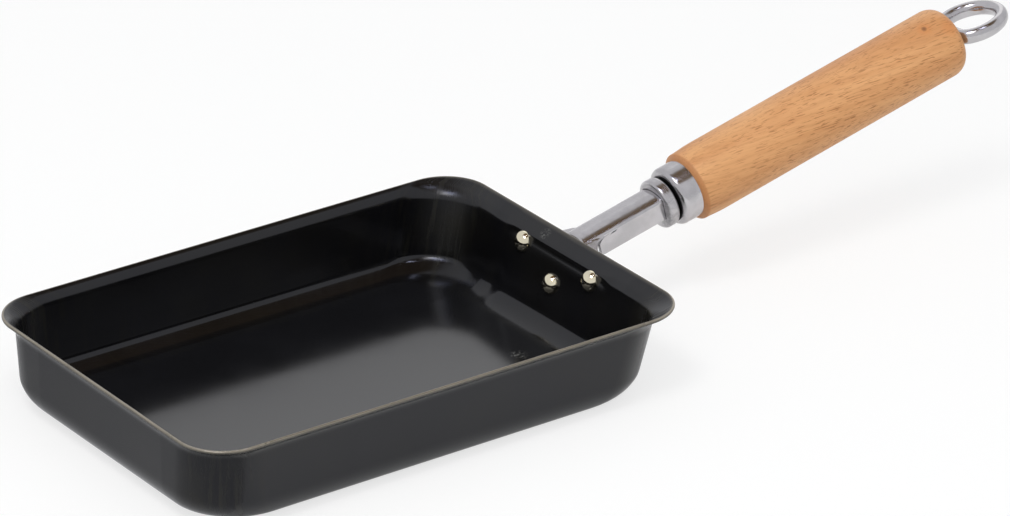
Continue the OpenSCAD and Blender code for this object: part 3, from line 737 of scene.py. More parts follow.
def bracket_surface(pan, handle, bracket):
    """The upper and outer face of the pressed bracket, as one open sheet.

    A point is the side view's point + y across + drop against its normal. From the end of the
    fold on, the sides go straight down to the open edge. In front of it each side ends in a
    round tongue: x = end - length * sin t, top = middle + (shoulder - middle) * cos t.
    """
    rows, width, along = bracket_side_view(pan, handle, bracket)
    half_y, half_drop = bracket_section(bracket, along, width)
    y = np.concatenate([-half_y[:, :0:-1], half_y], 1)
    drop = np.concatenate([half_drop[:, :0:-1], half_drop], 1)
    normal = np.stack([-np.sin(rows[:, 2]), np.cos(rows[:, 2])], -1)
    strap = np.stack([rows[:, :1] - drop * normal[:, :1], y, rows[:, 1:2] - drop * normal[:, 1:]], -1)
    fold_end = bracket.fold_start + bracket.fold_round
    sided = along > fold_end - 1e-6
    first = np.flatnonzero(sided)[0]
    rise = math.radians(handle.rise)
    level = rows[first, :2] - along[first] * way(rise)
    shoulder_drop = half_drop[first, -1]
    edge_drop = bracket.tail_level + bracket.channel_bottom
    middle = bracket.tail_level - bracket.fold_middle
    t = np.linspace(math.pi / 2, 0, 15)[:-1]
    tongue_x = fold_end - bracket.fold_round * np.sin(t)
    tongue_top = middle + (shoulder_drop - middle) * np.cos(t)
    toe = TONGUE_TOE
    into = np.clip(toe - (tongue_x - tongue_x[0]), 0, toe)
    tongue_low = edge_drop - toe + np.sqrt(toe ** 2 - into ** 2)
    x = np.concatenate([tongue_x, along[sided]])
    high = np.concatenate([tongue_top, half_drop[sided, -1]])[:, None]
    low = np.concatenate([tongue_low, np.full(sided.sum(), edge_drop)])[:, None]
    down_side = mix(high, low, np.linspace(0, 1, 11))
    normal = way(rise + math.pi / 2)
    side = np.stack([(level[0] + x * math.cos(rise))[:, None] - down_side * normal[0],
                     np.full_like(down_side, half_y[first, -1]),
                     (level[1] + x * math.sin(rise))[:, None] - down_side * normal[1]], -1)
    other = side[:, ::-1] * [1, -1, 1]
    faces, count = [], 0
    for rows_of, columns, _ in (strap.shape, side.shape, other.shape):
        faces.append(strip_faces(rows_of, columns, False, False, flip=True) + count)
        count += rows_of * columns
    points = [grid.reshape(-1, 3) for grid in (strap, side, other)]
    return np.concatenate(points), np.concatenate(faces)


def rivet_surface(pan, bracket, place):
    """A rivet turned about its own axis: domed head, shank, and the head set behind the flange.

    The dome is an ellipse, and a low skirt under it follows the pressed face.
    """
    seat_top, down_way, out = seat_frame(pan)
    centre = seat_top + place[0] * down_way
    axes = np.array([[out[0], 0, out[1]], [0, 1, 0], [-out[1], 0, out[0]]])
    r, shank, set_r = bracket.rivet_head / 2, bracket.rivet_shank / 2, bracket.rivet_set / 2
    grip = pan.sheet + bracket.seat_gap + bracket.strap
    height, skirt = bracket.rivet_set_height, 0.3
    profile = [(-bracket.rivet_dome, 0.0)] + arc((0, 0), (bracket.rivet_dome, r), 180, 90, 19)[1:]
    profile += [(skirt - 0.08, r), (skirt, r - 0.1), (skirt, shank), (grip, shank), (grip, set_r)]
    profile += arc((grip, set_r - height), (height, height), 90, 0, 9)[1:] + [(grip + height, 0.0)]
    return turned(profile, (np.array([centre[0], place[1], centre[1]]), axes), SMALL_SIDES, closed=False)


# Fittings on the handle's axis

# Points round a turned part.
ROUND_SIDES = 144
COLLAR_SIDES = 160
SMALL_SIDES = 56
# Middle of the collar's dented patch round the axis, and half its width, in degrees.
CRIMP_AT, CRIMP_HALF = 200, 75


def stations(handle):
    """Places along the axis where the parts of the handle start and end."""
    ferrule = handle.collar_start + handle.collar_length + handle.groove_width
    wood = ferrule + handle.ferrule_length
    return {"channel_end": handle.collar_start + handle.collar_pocket,
            "collar_back": handle.collar_start + handle.collar_length,
            "ferrule": ferrule, "wood": wood, "wood_end": wood + handle.wood_length}


def channel_reach(bracket, fit, a):
    """Distance from the axis to the channel's outline, widened by a fit, at angles a from +Y to up."""
    half, top, low = bracket.channel_width / 2 + fit, bracket.channel_top + fit, bracket.channel_bottom + fit
    r, rise = bracket.shoulder_radius, bracket.crown_rise
    crown, edge, tilt = channel_shape(bracket, fit)
    t = np.linspace(tilt, math.pi / 2, 20)
    over, straight = np.linspace(0, edge, 30)[:-1], 60
    y = np.concatenate([over, half - r + r * np.sin(t),
                        np.full(straight, half), np.linspace(half, 0, straight)])
    z = np.concatenate([top + rise - crown + np.sqrt(crown ** 2 - over ** 2), top - r + r * np.cos(t),
                        np.linspace(top - r, -low, straight), np.full(straight, -low)])
    y, z = np.concatenate([y, -y]), np.concatenate([z, z])
    outline = sorted_by_angle(np.arctan2(z, y), np.hypot(y, z))
    return np.interp(a % (2 * math.pi), *outline, period=2 * math.pi)


def sorted_by_angle(angle, value):
    """Angles taken round to 0 to 2 pi and sorted, with their values."""
    order = np.argsort(angle % (2 * math.pi))
    return angle[order] % (2 * math.pi), value[order]


def collar_profile(handle, bracket, a):
    """The collar's section at angles a: pocket for the channel, round edges, washer face behind.

    Returns it with painted shade, a share for each point, that darkens the pocket and the groove.
    """
    at = stations(handle)
    r, edge = handle.collar_d / 2, handle.collar_round
    hole = bolt_hole(handle)
    reach = channel_reach(bracket, handle.collar_fit, a)
    start, back, face = handle.collar_start, at["collar_back"], handle.groove_d / 2
    front = arc((start + edge, r - edge), (edge, edge), 180, 90, 9)
    rear = arc((back - edge, r - edge), (edge, edge), 90, 0, 9)
    body = [(mix(start + edge, back - edge, t), r) for t in np.linspace(0, 1, 6)[1:-1]]
    pocket = [(at["channel_end"], hole), (at["channel_end"], reach), (start, reach), (start, reach + 0.2)]
    washer = [(back, face), (at["ferrule"], face), (at["ferrule"], hole)]
    # Painted shade: the pocket, a thin line round its mouth and the washer face in the groove go dark.
    painted_shade = [1.0, 1.0, 0.8, 0.0] + [0.0] * len(front + body + rear) + [1.0] * len(washer)
    return pocket + front + body + rear + washer, painted_shade


def ferrule_profile(handle):
    """The ferrule's section: a cup with a round shoulder, closed towards the collar."""
    at = stations(handle)
    start, end, bevel = at["ferrule"], at["wood"], 0.15
    r, round_r, wall = handle.ferrule_d / 2, handle.ferrule_round, handle.ferrule_wall
    hole = bolt_hole(handle)
    shoulder = arc((start + round_r, r - round_r), (round_r, round_r), 180, 90, 15)
    small = round_r - wall
    hollow = arc((start + wall + small, r - wall - small), (small, small), 90, 180, 8)
    side = [(mix(start, end, 0.6), r), (end - bevel, r), (end, r - bevel), (end, r - wall)]
    return [(start, hole)] + shoulder + side + hollow + [(start + wall, hole)]


def wood_profile(handle):
    """The wood's section: bore, tenon in the ferrule, chamfer, swelling, straight grip and round end."""
    at = stations(handle)
    start, end = at["wood"], at["wood_end"]
    r, front = handle.wood_d / 2 - SKIM, handle.wood_front_d / 2
    tenon = handle.ferrule_d / 2 - handle.ferrule_wall - 0.05
    tenon_start = at["ferrule"] + handle.ferrule_wall
    hole = bolt_hole(handle)
    chamfer, full = start + handle.wood_chamfer, start + handle.wood_swell
    soft, bevel, mouth = 0.35, 1.0, 0.3
    swell = [(chamfer - soft * 0.6, front - soft * 0.55), (chamfer - soft * 0.1, front - soft * 0.12),
             (chamfer + soft, front)]
    swell += [(mix(chamfer, full, s), mix(front, r, float(ease(s)))) for s in np.linspace(0, 1, 14)[1:]]
    straight = [(mix(full, end - handle.end_round_length, s), r) for s in np.linspace(0, 1, 30)[1:-1]]
    radii = handle.end_round_length, handle.end_round_depth
    last = arc((end - radii[0], r - radii[1]), radii, 90, 0, 22)
    return [(tenon_start, hole), (tenon_start, tenon - bevel), (tenon_start + bevel, tenon), (start, tenon),
            (start, handle.ferrule_d / 2), *swell, *straight, *last,
            (end, hole + 2.0), (end, hole + 0.2), (end - mouth, hole)]


def eye_surface(handle, frame):
    """The hanging eye: oval wire along a ring whose near side is flattened, with two small corners.

    A point is the arc's middle + (its radius + w cos b) * (cos a, sin a), and d sin b across the
    ring's plane, for the wire's half width w and half depth d. The plane is then turned about
    the handle's axis.
    """
    w, d = handle.eye_wire / 2 - 2 * SKIM, handle.eye_depth_wire / 2
    corner_x = handle.eye_depth - handle.eye_corner
    inner = handle.eye_radius - handle.eye_corner
    corner_y = math.sqrt(inner ** 2 - corner_x ** 2)
    sweep = math.pi - math.acos(corner_x / inner)
    big, turning = 121, np.linspace(0, 1, 15)
    straight = np.linspace(corner_y, -corner_y, 10)[1:-1]
    a = np.concatenate([np.linspace(-sweep, sweep, big), mix(sweep, math.pi, turning[1:]),
                        np.full(len(straight), math.pi), mix(math.pi, 2 * math.pi - sweep, turning[:-1])])
    small, each = len(a) - big, len(turning) - 1
    middle_x = np.repeat([0.0, -corner_x], [big, small])
    middle_y = np.concatenate([np.zeros(big), np.full(each, corner_y), straight, np.full(each, -corner_y)])
    radius = np.repeat([handle.eye_radius, handle.eye_corner], [big, small])
    b = np.linspace(0, 2 * math.pi, 28, endpoint=False)
    reach = radius[:, None] + w * np.cos(b)
    x = middle_x[:, None] + reach * np.cos(a)[:, None]
    y = middle_y[:, None] + reach * np.sin(a)[:, None]
    z = np.broadcast_to(handle.eye_lift + d * np.sin(b), x.shape)
    turn = math.radians(handle.eye_turn)
    middle = stations(handle)["wood_end"] + handle.eye_stand + handle.eye_depth
    c, s = math.cos(turn), math.sin(turn)
    local = np.stack([x + middle, y * c - z * s, y * s + z * c], -1)
    return (local @ frame[1] + frame[0]).reshape(-1, 3), strip_faces(len(a), len(b), True, True, flip=True)


def tie_bolt_profile(handle):
    """The tie bolt from its tail past the nut to the shoulder and the cone under the eye.

    Its point and the shoulder's back and front have bevels of their own.
    """
    at = stations(handle)
    start, end = at["channel_end"] - handle.nut_height - handle.bolt_tail, at["wood_end"]
    r, shoulder = handle.bolt_d / 2, handle.eye_shoulder_d / 2
    face, stand, cone = end + handle.eye_shoulder, end + handle.eye_stand, 0.4 * handle.eye_wire
    point, back, front = 0.4, 0.1, 0.2
    return [(start, 0.0), (start, r - point), (start + point, r), (end, r),
            (end, shoulder - back), (end + back, shoulder),
            (face - front, shoulder), (face, shoulder - front), (stand, cone), (stand, 0.0)]


# Finishes

class Nodes:
    """Short ways to add nodes to a tree. An input's name or number leads to its value or its link."""

    def __init__(self, tree):
        self.tree = tree

    def set(self, node, inputs):
        for key, value in inputs.items():
            if isinstance(value, bpy.types.NodeSocket):
                self.tree.links.new(value, node.inputs[key])
            else:
                node.inputs[key].default_value = value

    def add(self, kind, inputs=None, **settings):
        node = self.tree.nodes.new(kind)
        for key, value in settings.items():
            setattr(node, key, value)
        self.set(node, inputs or {})
        return node.outputs

    def maths(self, operation, a, b=0.0):
        return self.add("ShaderNodeMath", {0: a, 1: b}, operation=operation)[0]

    def times(self, a, b):
        return self.maths("MULTIPLY", a, b)

    def plus(self, a, b):
        return self.maths("ADD", a, b)

    def one_of(self, share, a, b):
        """Shader a where the share is 0, b where it is 1, and both between."""
        return self.add("ShaderNodeMixShader", {0: share, 1: a, 2: b})[0]


class Finish(Nodes):
    """Short ways to add the nodes of one material."""

    def __init__(self, name):
        self.material = bpy.data.materials.new(name)
        self.material.use_nodes = True
        super().__init__(self.material.node_tree)
        self.place = self.add("ShaderNodeTexCoord")["Object"]

    def finished(self, **inputs):
        """Gives the shader its inputs, with _ for a space in a name, and returns the material."""
        self.set(self.tree.nodes["Principled BSDF"], {key.replace("_", " "): v for key, v in inputs.items()})
        return self.material

    def turned(self, source, turn=(0, 0, 0), scale=(1, 1, 1)):
        return self.add("ShaderNodeMapping", {"Vector": source, "Rotation": turn, "Scale": scale})["Vector"]

    def noise(self, source, scale, detail=3.0, rough=0.55, distort=0.0):
        inputs = {"Vector": source, "Scale": scale, "Detail": detail, "Roughness": rough,
                  "Distortion": distort}
        return self.add("ShaderNodeTexNoise", inputs)["Fac"]

    def stretched(self, source, scale, detail, rough=0.55, distort=0.0):
        """Noise of size 1 on a place scaled along each axis."""
        return self.noise(self.turned(source, scale=scale), 1.0, detail, rough, distort)

    def between(self, source, low, high, to_low=0.0, to_high=1.0):
        inputs = {"Value": source, "From Min": low, "From Max": high, "To Min": to_low, "To Max": to_high}
        return self.add("ShaderNodeMapRange", inputs, interpolation_type="SMOOTHSTEP")["Result"]

    def blend(self, share, a, b):
        return self.add("ShaderNodeMix", {0: share, 6: a, 7: b}, data_type="RGBA")[2]

    def attribute(self, name):
        return self.add("ShaderNodeAttribute", attribute_name=name)["Fac"]

    def near(self, place, reach):
        """1 at a place in millimetres, falling to 0 at the reach."""
        inputs = {0: self.place, 1: [MM * v for v in place]}
        distance = self.add("ShaderNodeVectorMath", inputs, operation="DISTANCE")["Value"]
        return self.between(distance, 0.25 * reach * MM, reach * MM, 1.0, 0.0)

    def bump(self, height, strength, distance, onto=None):
        inputs = {"Height": height, "Strength": strength, "Distance": distance}
        if onto is not None:
            inputs["Normal"] = onto
        return self.add("ShaderNodeBump", inputs)["Normal"]


def shade(colour, share):
    """A colour made darker or lighter by a share."""
    return tuple(share * c for c in colour[:3]) + (1.0,)


# Places and reaches, in mm, of the scuffs on the lip and the floor and of the glow round the wood's
# knot, and how far from the middle line the floor's dish reaches.
SCUFFS = (((87.2, 10.3, 27.9), 2.6), ((60.6, -12.5, 1.2), 4.0))
DISH_HALF = 35.0
KNOT = (230.1, -4.4, 69.0)
KNOT_GLOW = ((KNOT, 3.6), ((238.4, -7.7, 68.8), 4.5))


def blackened_steel(colours):
    """Baked-on black: a thin smooth coat with fine unevenness, faint drawing streaks, two scuffs
    and a worn cut edge with a golden line along its middle.

    The first bump is the floor's slight dish, whose height grows as y^2 from its middle line.
    """
    n = Finish("pan_blackening")
    uv = n.add("ShaderNodeUVMap", uv_map="sheet")["UV"]
    wear = n.attribute("rim_wear")
    drawn = n.attribute("drawn")
    cloud = n.noise(n.place, 38.0, 4.0)
    grain = n.noise(n.place, 1500.0, 3.0)
    streak = n.stretched(uv, (520.0, 34.0, 1.0), 4.0, 0.62)
    streaks = n.times(n.between(streak, 0.42, 0.72), drawn)
    coat = n.blend(n.between(cloud, 0.35, 0.7), colours.black, shade(colours.black, 1.5))
    cast = n.times(n.between(n.noise(n.place, 24.0, 3.0), 0.42, 0.66), drawn)
    coat = n.blend(n.maths("MAXIMUM", cast, streaks), coat, colours.oxide)
    scuff = n.maths("MAXIMUM", *(n.near(*mark) for mark in SCUFFS))
    scuff = n.times(scuff, n.between(n.noise(n.place, 1100.0, 5.0, 0.8), 0.50, 0.62))
    coat = n.blend(n.times(scuff, 0.8), coat, (0.16, 0.16, 0.15, 1.0))
    uneven = n.between(n.stretched(uv, (90.0, 900.0, 1.0), 4.0, 0.6), 0.25, 0.60, 0.62, 1.0)
    worn = n.times(wear, uneven)
    rough = n.plus(n.between(cloud, 0.3, 0.7, 0.11, 0.145), n.times(streaks, 0.10))
    rough = n.plus(rough, n.times(scuff, 0.25))
    rough = n.plus(rough, n.times(n.between(drawn, 0.4, 1.0), 0.12))
    y = n.add("ShaderNodeSeparateXYZ", {0: n.place})["Y"]
    across = n.maths("MINIMUM", n.maths("ABSOLUTE", y), DISH_HALF * MM)
    dish = n.bump(n.times(n.times(across, across), 0.5), 1.0, 1.0)
    fine = n.bump(grain, 0.03, 0.00010, dish)
    return n.finished(
        Base_Color=n.blend(worn, coat, colours.bare), Metallic=n.times(worn, 0.9),
        Roughness=n.plus(rough, n.times(worn, 0.10)), Normal=n.bump(streaks, 0.08, 0.00010, fine),
        IOR=1.46, Specular_Tint=(0.93, 0.94, 1.0, 1.0))


def bright_metal(name, colour, rough=0.16, waviness=0.10, worn=False):
    """Bright plating: metal with a slightly uneven polish, faint pits and fine wiping marks.

    A worn piece has a rough dented patch where its attribute crimp is high, and near-black painted
    shade in the collar's pocket and in the groove, where its second attribute is high.
    """
    n = Finish(name)
    cloud = n.noise(n.place, 130.0, 3.0)
    fine = n.noise(n.place, 1300.0, 4.0)
    pits = n.between(n.noise(n.place, 620.0, 4.0, 0.7), 0.66, 0.78)
    dull, dark = shade(colour, 0.86), shade(colour, 0.45)
    body = n.blend(n.between(cloud, 0.35, 0.7), colour, dull)
    body = n.blend(n.times(pits, 0.5), body, dark)
    cloudy = n.between(cloud, 0.3, 0.75, rough, rough + 0.07)
    rough_map = n.plus(cloudy, n.between(fine, 0.4, 0.8, 0.0, 0.04))
    wave = n.bump(cloud, waviness, 0.0006)
    wave = n.bump(fine, 0.05, 0.0001, wave)
    if worn:
        dents = n.noise(n.place, 620.0, 5.0, 0.7, 0.5)
        mark = n.times(n.between(dents, 0.42, 0.62), n.attribute("crimp"))
        body = n.blend(n.times(mark, 0.55), body, dark)
        rough_map = n.plus(rough_map, n.times(n.attribute("crimp"), 0.18))
        wave = n.bump(mark, 0.40, 0.0003, wave)
        # Painted shade: near black and rougher in the pocket and in the groove between collar and ferrule.
        painted_shade = n.between(n.attribute("painted_shade"), 0.15, 0.75)
        body = n.blend(painted_shade, body, (0.004, 0.004, 0.004, 1.0))
        rough_map = n.plus(rough_map, n.times(painted_shade, 0.35))
    return n.finished(Base_Color=body, Metallic=1.0, Roughness=rough_map, Normal=wave)


def beech(colours, frame):
    """Turned beech under satin lacquer: soft bands along the grain, short dark flecks, fine pores."""
    n = Finish("beech_lacquered")
    rise = math.atan2(frame[1][0, 2], frame[1][0, 0])
    grain = n.turned(n.place, turn=(0, rise - 0.14, 0.09))
    band = n.stretched(grain, (7.0, 90.0, 150.0), 4.0, 0.55, 0.6)
    thread = n.stretched(grain, (60.0, 1100.0, 1100.0), 3.0, 0.6)
    fleck = n.stretched(grain, (210.0, 2300.0, 2700.0), 2.0, 0.5)
    spot = n.stretched(grain, (160.0, 520.0, 520.0), 2.0, 0.5)
    cloud = n.stretched(grain, (18.0, 40.0, 40.0), 2.0)
    body = n.blend(n.between(band, 0.35, 0.68), colours.wood_light, colours.wood_dark)
    body = n.blend(n.between(thread, 0.42, 0.82, 0.0, 0.34), body, colours.wood_fleck)
    marks = n.times(n.between(fleck, 0.56, 0.68), n.between(cloud, 0.30, 0.65, 0.35, 0.85))
    marks = n.maths("MAXIMUM", marks, n.between(spot, 0.70, 0.76, 0.0, 0.7))
    body = n.blend(marks, body, colours.wood_fleck)
    glow = n.maths("MAXIMUM", *(n.near(*mark) for mark in KNOT_GLOW))
    body = n.blend(n.times(glow, 0.5), body, (0.66, 0.25, 0.07, 1.0))
    body = n.blend(n.times(n.near(KNOT, 1.3), 0.8), body, (0.22, 0.085, 0.03, 1.0))
    body = n.blend(n.times(n.attribute("chamfer"), 0.70), body, colours.wood_chamfer)
    pores = n.plus(thread, n.times(marks, -1.0))
    return n.finished(Base_Color=body, Roughness=n.between(thread, 0.3, 0.8, 0.42, 0.55),
                      Normal=n.bump(pores, 0.12, 0.00012), IOR=1.45)


def zinc(colours):
    """Dull zinc on the nut."""
    n = Finish("nut_zinc")
    fine = n.noise(n.place, 900.0, 4.0)
    body = n.blend(n.between(fine, 0.35, 0.7), colours.nut, shade(colours.nut, 0.75))
    return n.finished(Base_Color=body, Metallic=1.0, Roughness=n.between(fine, 0.3, 0.7, 0.35, 0.5),
                      Normal=n.bump(fine, 0.2, 0.0001))


def use_finish(node, material):
    """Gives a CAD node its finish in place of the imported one."""
    for slot in NODES[node].material_slots:
        slot.material = material


# Operators

class PAN_OT_press_pan(bpy.types.Operator):
    """Builds the pressed pan as one smooth sheet, with its flared lip and the bracket's seat"""

    bl_idname = "pan.press_pan"
    bl_label = "Press the pan"

    def execute(self, context):
        scene = context.scene
        points, faces, pattern, wear, drawn = pan_surface(scene.pan_sizes)
        finish = blackened_steel(scene.finish_colours)
        piece = new_piece("pan_sheet", points, faces, finish, "pan_body")
        mesh = piece.data
        float_attribute(mesh, "rim_wear", wear)
        float_attribute(mesh, "drawn", drawn)
        corner = np.zeros(len(mesh.loops), np.int64)
        mesh.loops.foreach_get("vertex_index", corner)
        uv = (pattern * MM)[corner]
        mesh.uv_layers.new(name="sheet").data.foreach_set("uv", uv.astype(np.float32).ravel())
        return {"FINISHED"}


class PAN_OT_set_rivets(bpy.types.Operator):
    """Turns the three rivets with their domed heads"""

    bl_idname = "pan.set_rivets"
    bl_label = "Set the rivets"

    def execute(self, context):
        pan, bracket = context.scene.pan_sizes, context.scene.bracket_sizes
        finish = bright_metal("rivet_nickel", context.scene.finish_colours.rivet, rough=0.04, waviness=0.20)
        depth, spread = bracket.rivet_depth, bracket.rivet_spread
        places = {"rivet_left": (depth, spread), "rivet_right": (depth, -spread),
                  "rivet_lower": (depth + bracket.rivet_drop, 0.0)}
        for node, place in places.items():
            points, faces = rivet_surface(pan, bracket, place)
            new_piece(node + "_dome", points, faces, finish, node, sharp=40, weld=True)
        return {"FINISHED"}


class PAN_OT_press_bracket(bpy.types.Operator):
    """Presses the bracket: flange, fold under the lip, fishtail, crowned channel and folded sides"""

    bl_idname = "pan.press_bracket"
    bl_label = "Press the bracket"

    def execute(self, context):
        scene = context.scene
        bracket = scene.bracket_sizes
        finish = bright_metal("bright_plating", scene.finish_colours.plated)
        points, faces = bracket_surface(scene.pan_sizes, scene.handle_sizes, bracket)
        piece = new_piece("pressed_bracket", points, faces.tolist(), finish, "handle_bracket",
                          weld=True)
        wall = piece.modifiers.new("strap", "SOLIDIFY")
        wall.thickness = bracket.strap * MM
        wall.offset = -1.0
        wall.use_even_offset = True
        edge = piece.modifiers.new("cut_edge", "BEVEL")
        edge.width = 0.10 * MM
        edge.segments = 2
        edge.limit_method = "ANGLE"
        edge.angle_limit = math.radians(50)
        edge.harden_normals = True
        edge.use_clamp_overlap = False
        use_finish("tie_nut", zinc(scene.finish_colours))
        return {"FINISHED"}


class PAN_OT_turn_fittings(bpy.types.Operator):
    """Turns the collar and the ferrule about the handle's axis"""

    bl_idname = "pan.turn_fittings"
    bl_label = "Turn the collar and the ferrule"

    def execute(self, context):
        scene = context.scene
        h = scene.handle_sizes
        frame = handle_frame(scene.pan_sizes, h)
        a = np.linspace(0, 2 * math.pi, COLLAR_SIDES, endpoint=False)
        profile, painted_shade = collar_profile(h, scene.bracket_sizes, a)
        points, faces = turned(profile, frame, COLLAR_SIDES)
        # worn gives the collar its dented patch and the painted shade in the pocket and the groove.
        finish = bright_metal("collar_plating", scene.finish_colours.plated, worn=True)
        piece = new_piece("turned_collar", points, faces, finish, "collar", sharp=35)
        around = ease(1 - np.abs(np.degrees(a) - CRIMP_AT) / CRIMP_HALF)
        float_attribute(piece.data, "crimp", np.tile(around, len(profile)))
        # Painted shade in the collar's pocket and on its washer face in the groove.
        float_attribute(piece.data, "painted_shade", np.repeat(painted_shade, COLLAR_SIDES))
        profile = ferrule_profile(h)
        points, faces = turned(profile, frame, ROUND_SIDES)
        finish = bright_metal("ferrule_plating", scene.finish_colours.plated, worn=True)
        piece = new_piece("turned_ferrule", points, faces, finish, "ferrule", sharp=35)
        # Painted shade on the ferrule's face in the groove.
        painted_shade = np.zeros(len(profile))
        painted_shade[:3] = (1.0, 0.6, 0.0)
        float_attribute(piece.data, "painted_shade", np.repeat(painted_shade, ROUND_SIDES))
        return {"FINISHED"}


class PAN_OT_turn_wood(bpy.types.Operator):
    """Turns the wooden handle with its tenon, chamfer, swelling and rounded end"""

    bl_idname = "pan.turn_wood"
    bl_label = "Turn the wooden handle"

    def execute(self, context):
        pan, h = context.scene.pan_sizes, context.scene.handle_sizes
        frame = handle_frame(pan, h)
        profile = wood_profile(h)
        points, faces = turned(profile, frame, ROUND_SIDES)
        finish = beech(context.scene.finish_colours, frame)
        piece = new_piece("wood_grip", points, faces, finish, "wood_handle", sharp=40)
        chamfer = np.zeros(len(profile))
        chamfer[4:7] = (1.0, 1.0, 0.6)
        float_attribute(piece.data, "chamfer", np.repeat(chamfer, ROUND_SIDES))
        return {"FINISHED"}


class PAN_OT_bend_eye(bpy.types.Operator):
    """Bends the hanging eye from round wire, with its shoulder and tie bolt"""

    bl_idname = "pan.bend_eye"
    bl_label = "Bend the hanging eye"

    def execute(self, context):
        h = context.scene.handle_sizes
        frame = handle_frame(context.scene.pan_sizes, h)
        ring, ring_faces = eye_surface(h, frame)
        bolt, bolt_faces = turned(tie_bolt_profile(h), frame, SMALL_SIDES, closed=False)
        points, faces = np.concatenate([ring, bolt]), np.concatenate([ring_faces, bolt_faces + len(ring)])
        finish = bpy.data.materials["bright_plating"]
        new_piece("bent_eye", points, faces.tolist(), finish, "hanging_eye",
                  sharp=35, weld=True)
        return {"FINISHED"}


class PAN_OT_set_stage(bpy.types.Operator):
    """Lays the pale floor and sets the lamps, the world and the camera"""

    bl_idname = "pan.set_stage"
    bl_label = "Set the stage"

    def execute(self, context):
        studio = context.scene.studio_settings
        lay_floor()
        light_studio(studio)
        set_camera(studio, context.scene.pan_sizes)
        context.scene.view_settings.view_transform = "Standard"
        return {"FINISHED"}


WHITE = (1.0, 1.0, 1.0, 1.0)


def emptied(owner):
    """Short ways to add to the node tree of a material or a world, which is cleared first."""
    owner.use_nodes = True
    owner.node_tree.nodes.clear()
    return Nodes(owner.node_tree)


def seen_directly(n):
    """1 for rays from the camera, a gloss or a glass, and 0 for matt light."""
    rays = n.add("ShaderNodeLightPath")
    seen = n.maths("MAXIMUM", rays["Is Camera Ray"], rays["Is Glossy Ray"])
    return n.maths("MAXIMUM", seen, rays["Is Transmission Ray"])


def rectangle(width, depth):
    """Corners of a level rectangle round the origin."""
    return [(x * width / 2, y * depth / 2, 0) for x, y in ((-1, -1), (1, -1), (1, 1), (-1, 1))]


def lay_floor():
    """A wide level floor: matt white that keeps the shadow, lifted a little where it is seen.

    To the camera itself the floor is mostly plain white, so that the shadow stays faint. From
    below it is clear, so that the underside can be seen.
    """
    mesh = bpy.data.meshes.new("floor")
    mesh.from_pydata(rectangle(12.0, 12.0), [], [(0, 1, 2, 3)])
    material = bpy.data.materials.new("floor_white")
    n = emptied(material)
    matt = n.add("ShaderNodeBsdfDiffuse", {"Color": (0.80, 0.80, 0.80, 1)})[0]
    lift = n.add("ShaderNodeEmission", {"Color": WHITE, "Strength": n.times(seen_directly(n), 0.20)})[0]
    both = n.add("ShaderNodeAddShader", {0: matt, 1: lift})[0]
    white = n.add("ShaderNodeEmission", {"Color": WHITE})[0]
    camera = n.add("ShaderNodeLightPath")["Is Camera Ray"]
    seen = n.one_of(n.times(camera, 0.65), both, white)
    below = n.add("ShaderNodeNewGeometry")["Backfacing"]
    clear = n.add("ShaderNodeBsdfTransparent")[0]
    n.add("ShaderNodeOutputMaterial", {"Surface": n.one_of(below, seen, clear)})
    mesh.materials.append(material)
    into_scene("floor", mesh)


def gloss_only(name, points, faces, colour, strength=1.0):
    """A glowing sheet that only shows in glossy surfaces, as a photographer's flags and cards do."""
    mesh = bpy.data.meshes.new(name)
    mesh.from_pydata(points, [], faces)
    material = bpy.data.materials.new(name)
    n = emptied(material)
    glow = n.add("ShaderNodeEmission", {"Color": colour + (1,), "Strength": strength})[0]
    n.add("ShaderNodeOutputMaterial", {"Surface": glow})
    mesh.materials.append(material)
    piece = into_scene(name, mesh)
    piece.visible_camera = False
    piece.visible_diffuse = False
    piece.visible_transmission = False
    piece.visible_shadow = False


def card(name, place, aim, size, colour, strength=1.0):
    """A flat card, square to the line from its place to its aim."""
    turn = (Vector(aim) - Vector(place)).to_track_quat("-Z", "Y")
    corners = [turn @ Vector(corner) + Vector(place) for corner in rectangle(*size)]
    gloss_only(name, corners, [(0, 1, 2, 3)], colour, strength)


def tent(radius, colour):
    """A half sphere round the stage: radius * (cos e cos a, cos e sin a, sin e)."""
    rows, sides = 12, 48
    e, a = np.meshgrid(np.radians(np.linspace(0, 88, rows)),
                       np.linspace(0, 2 * math.pi, sides, endpoint=False), indexing="ij")
    points = radius * np.stack([np.cos(e) * np.cos(a), np.cos(e) * np.sin(a), np.sin(e)], -1).reshape(-1, 3)
    top = list(range((rows - 1) * sides, rows * sides))
    gloss_only("tent", points.tolist(), strip_faces(rows, sides, False, True).tolist() + [top], colour)


def lamp(name, place, aim, size, power, colour=(1, 1, 1), shows=True):
    """A rectangular lamp aimed at a place. shows says whether glossy surfaces mirror it."""
    data = bpy.data.lights.new(name, "AREA")
    data.shape = "RECTANGLE"
    data.size, data.size_y = size
    data.energy = power
    data.color = colour
    lamp_object = into_scene(name, data)
    lamp_object.location = place
    lamp_object.rotation_euler = (Vector(aim) - Vector(place)).to_track_quat("-Z", "Y").to_euler()
    lamp_object.visible_camera = False
    lamp_object.visible_glossy = shows


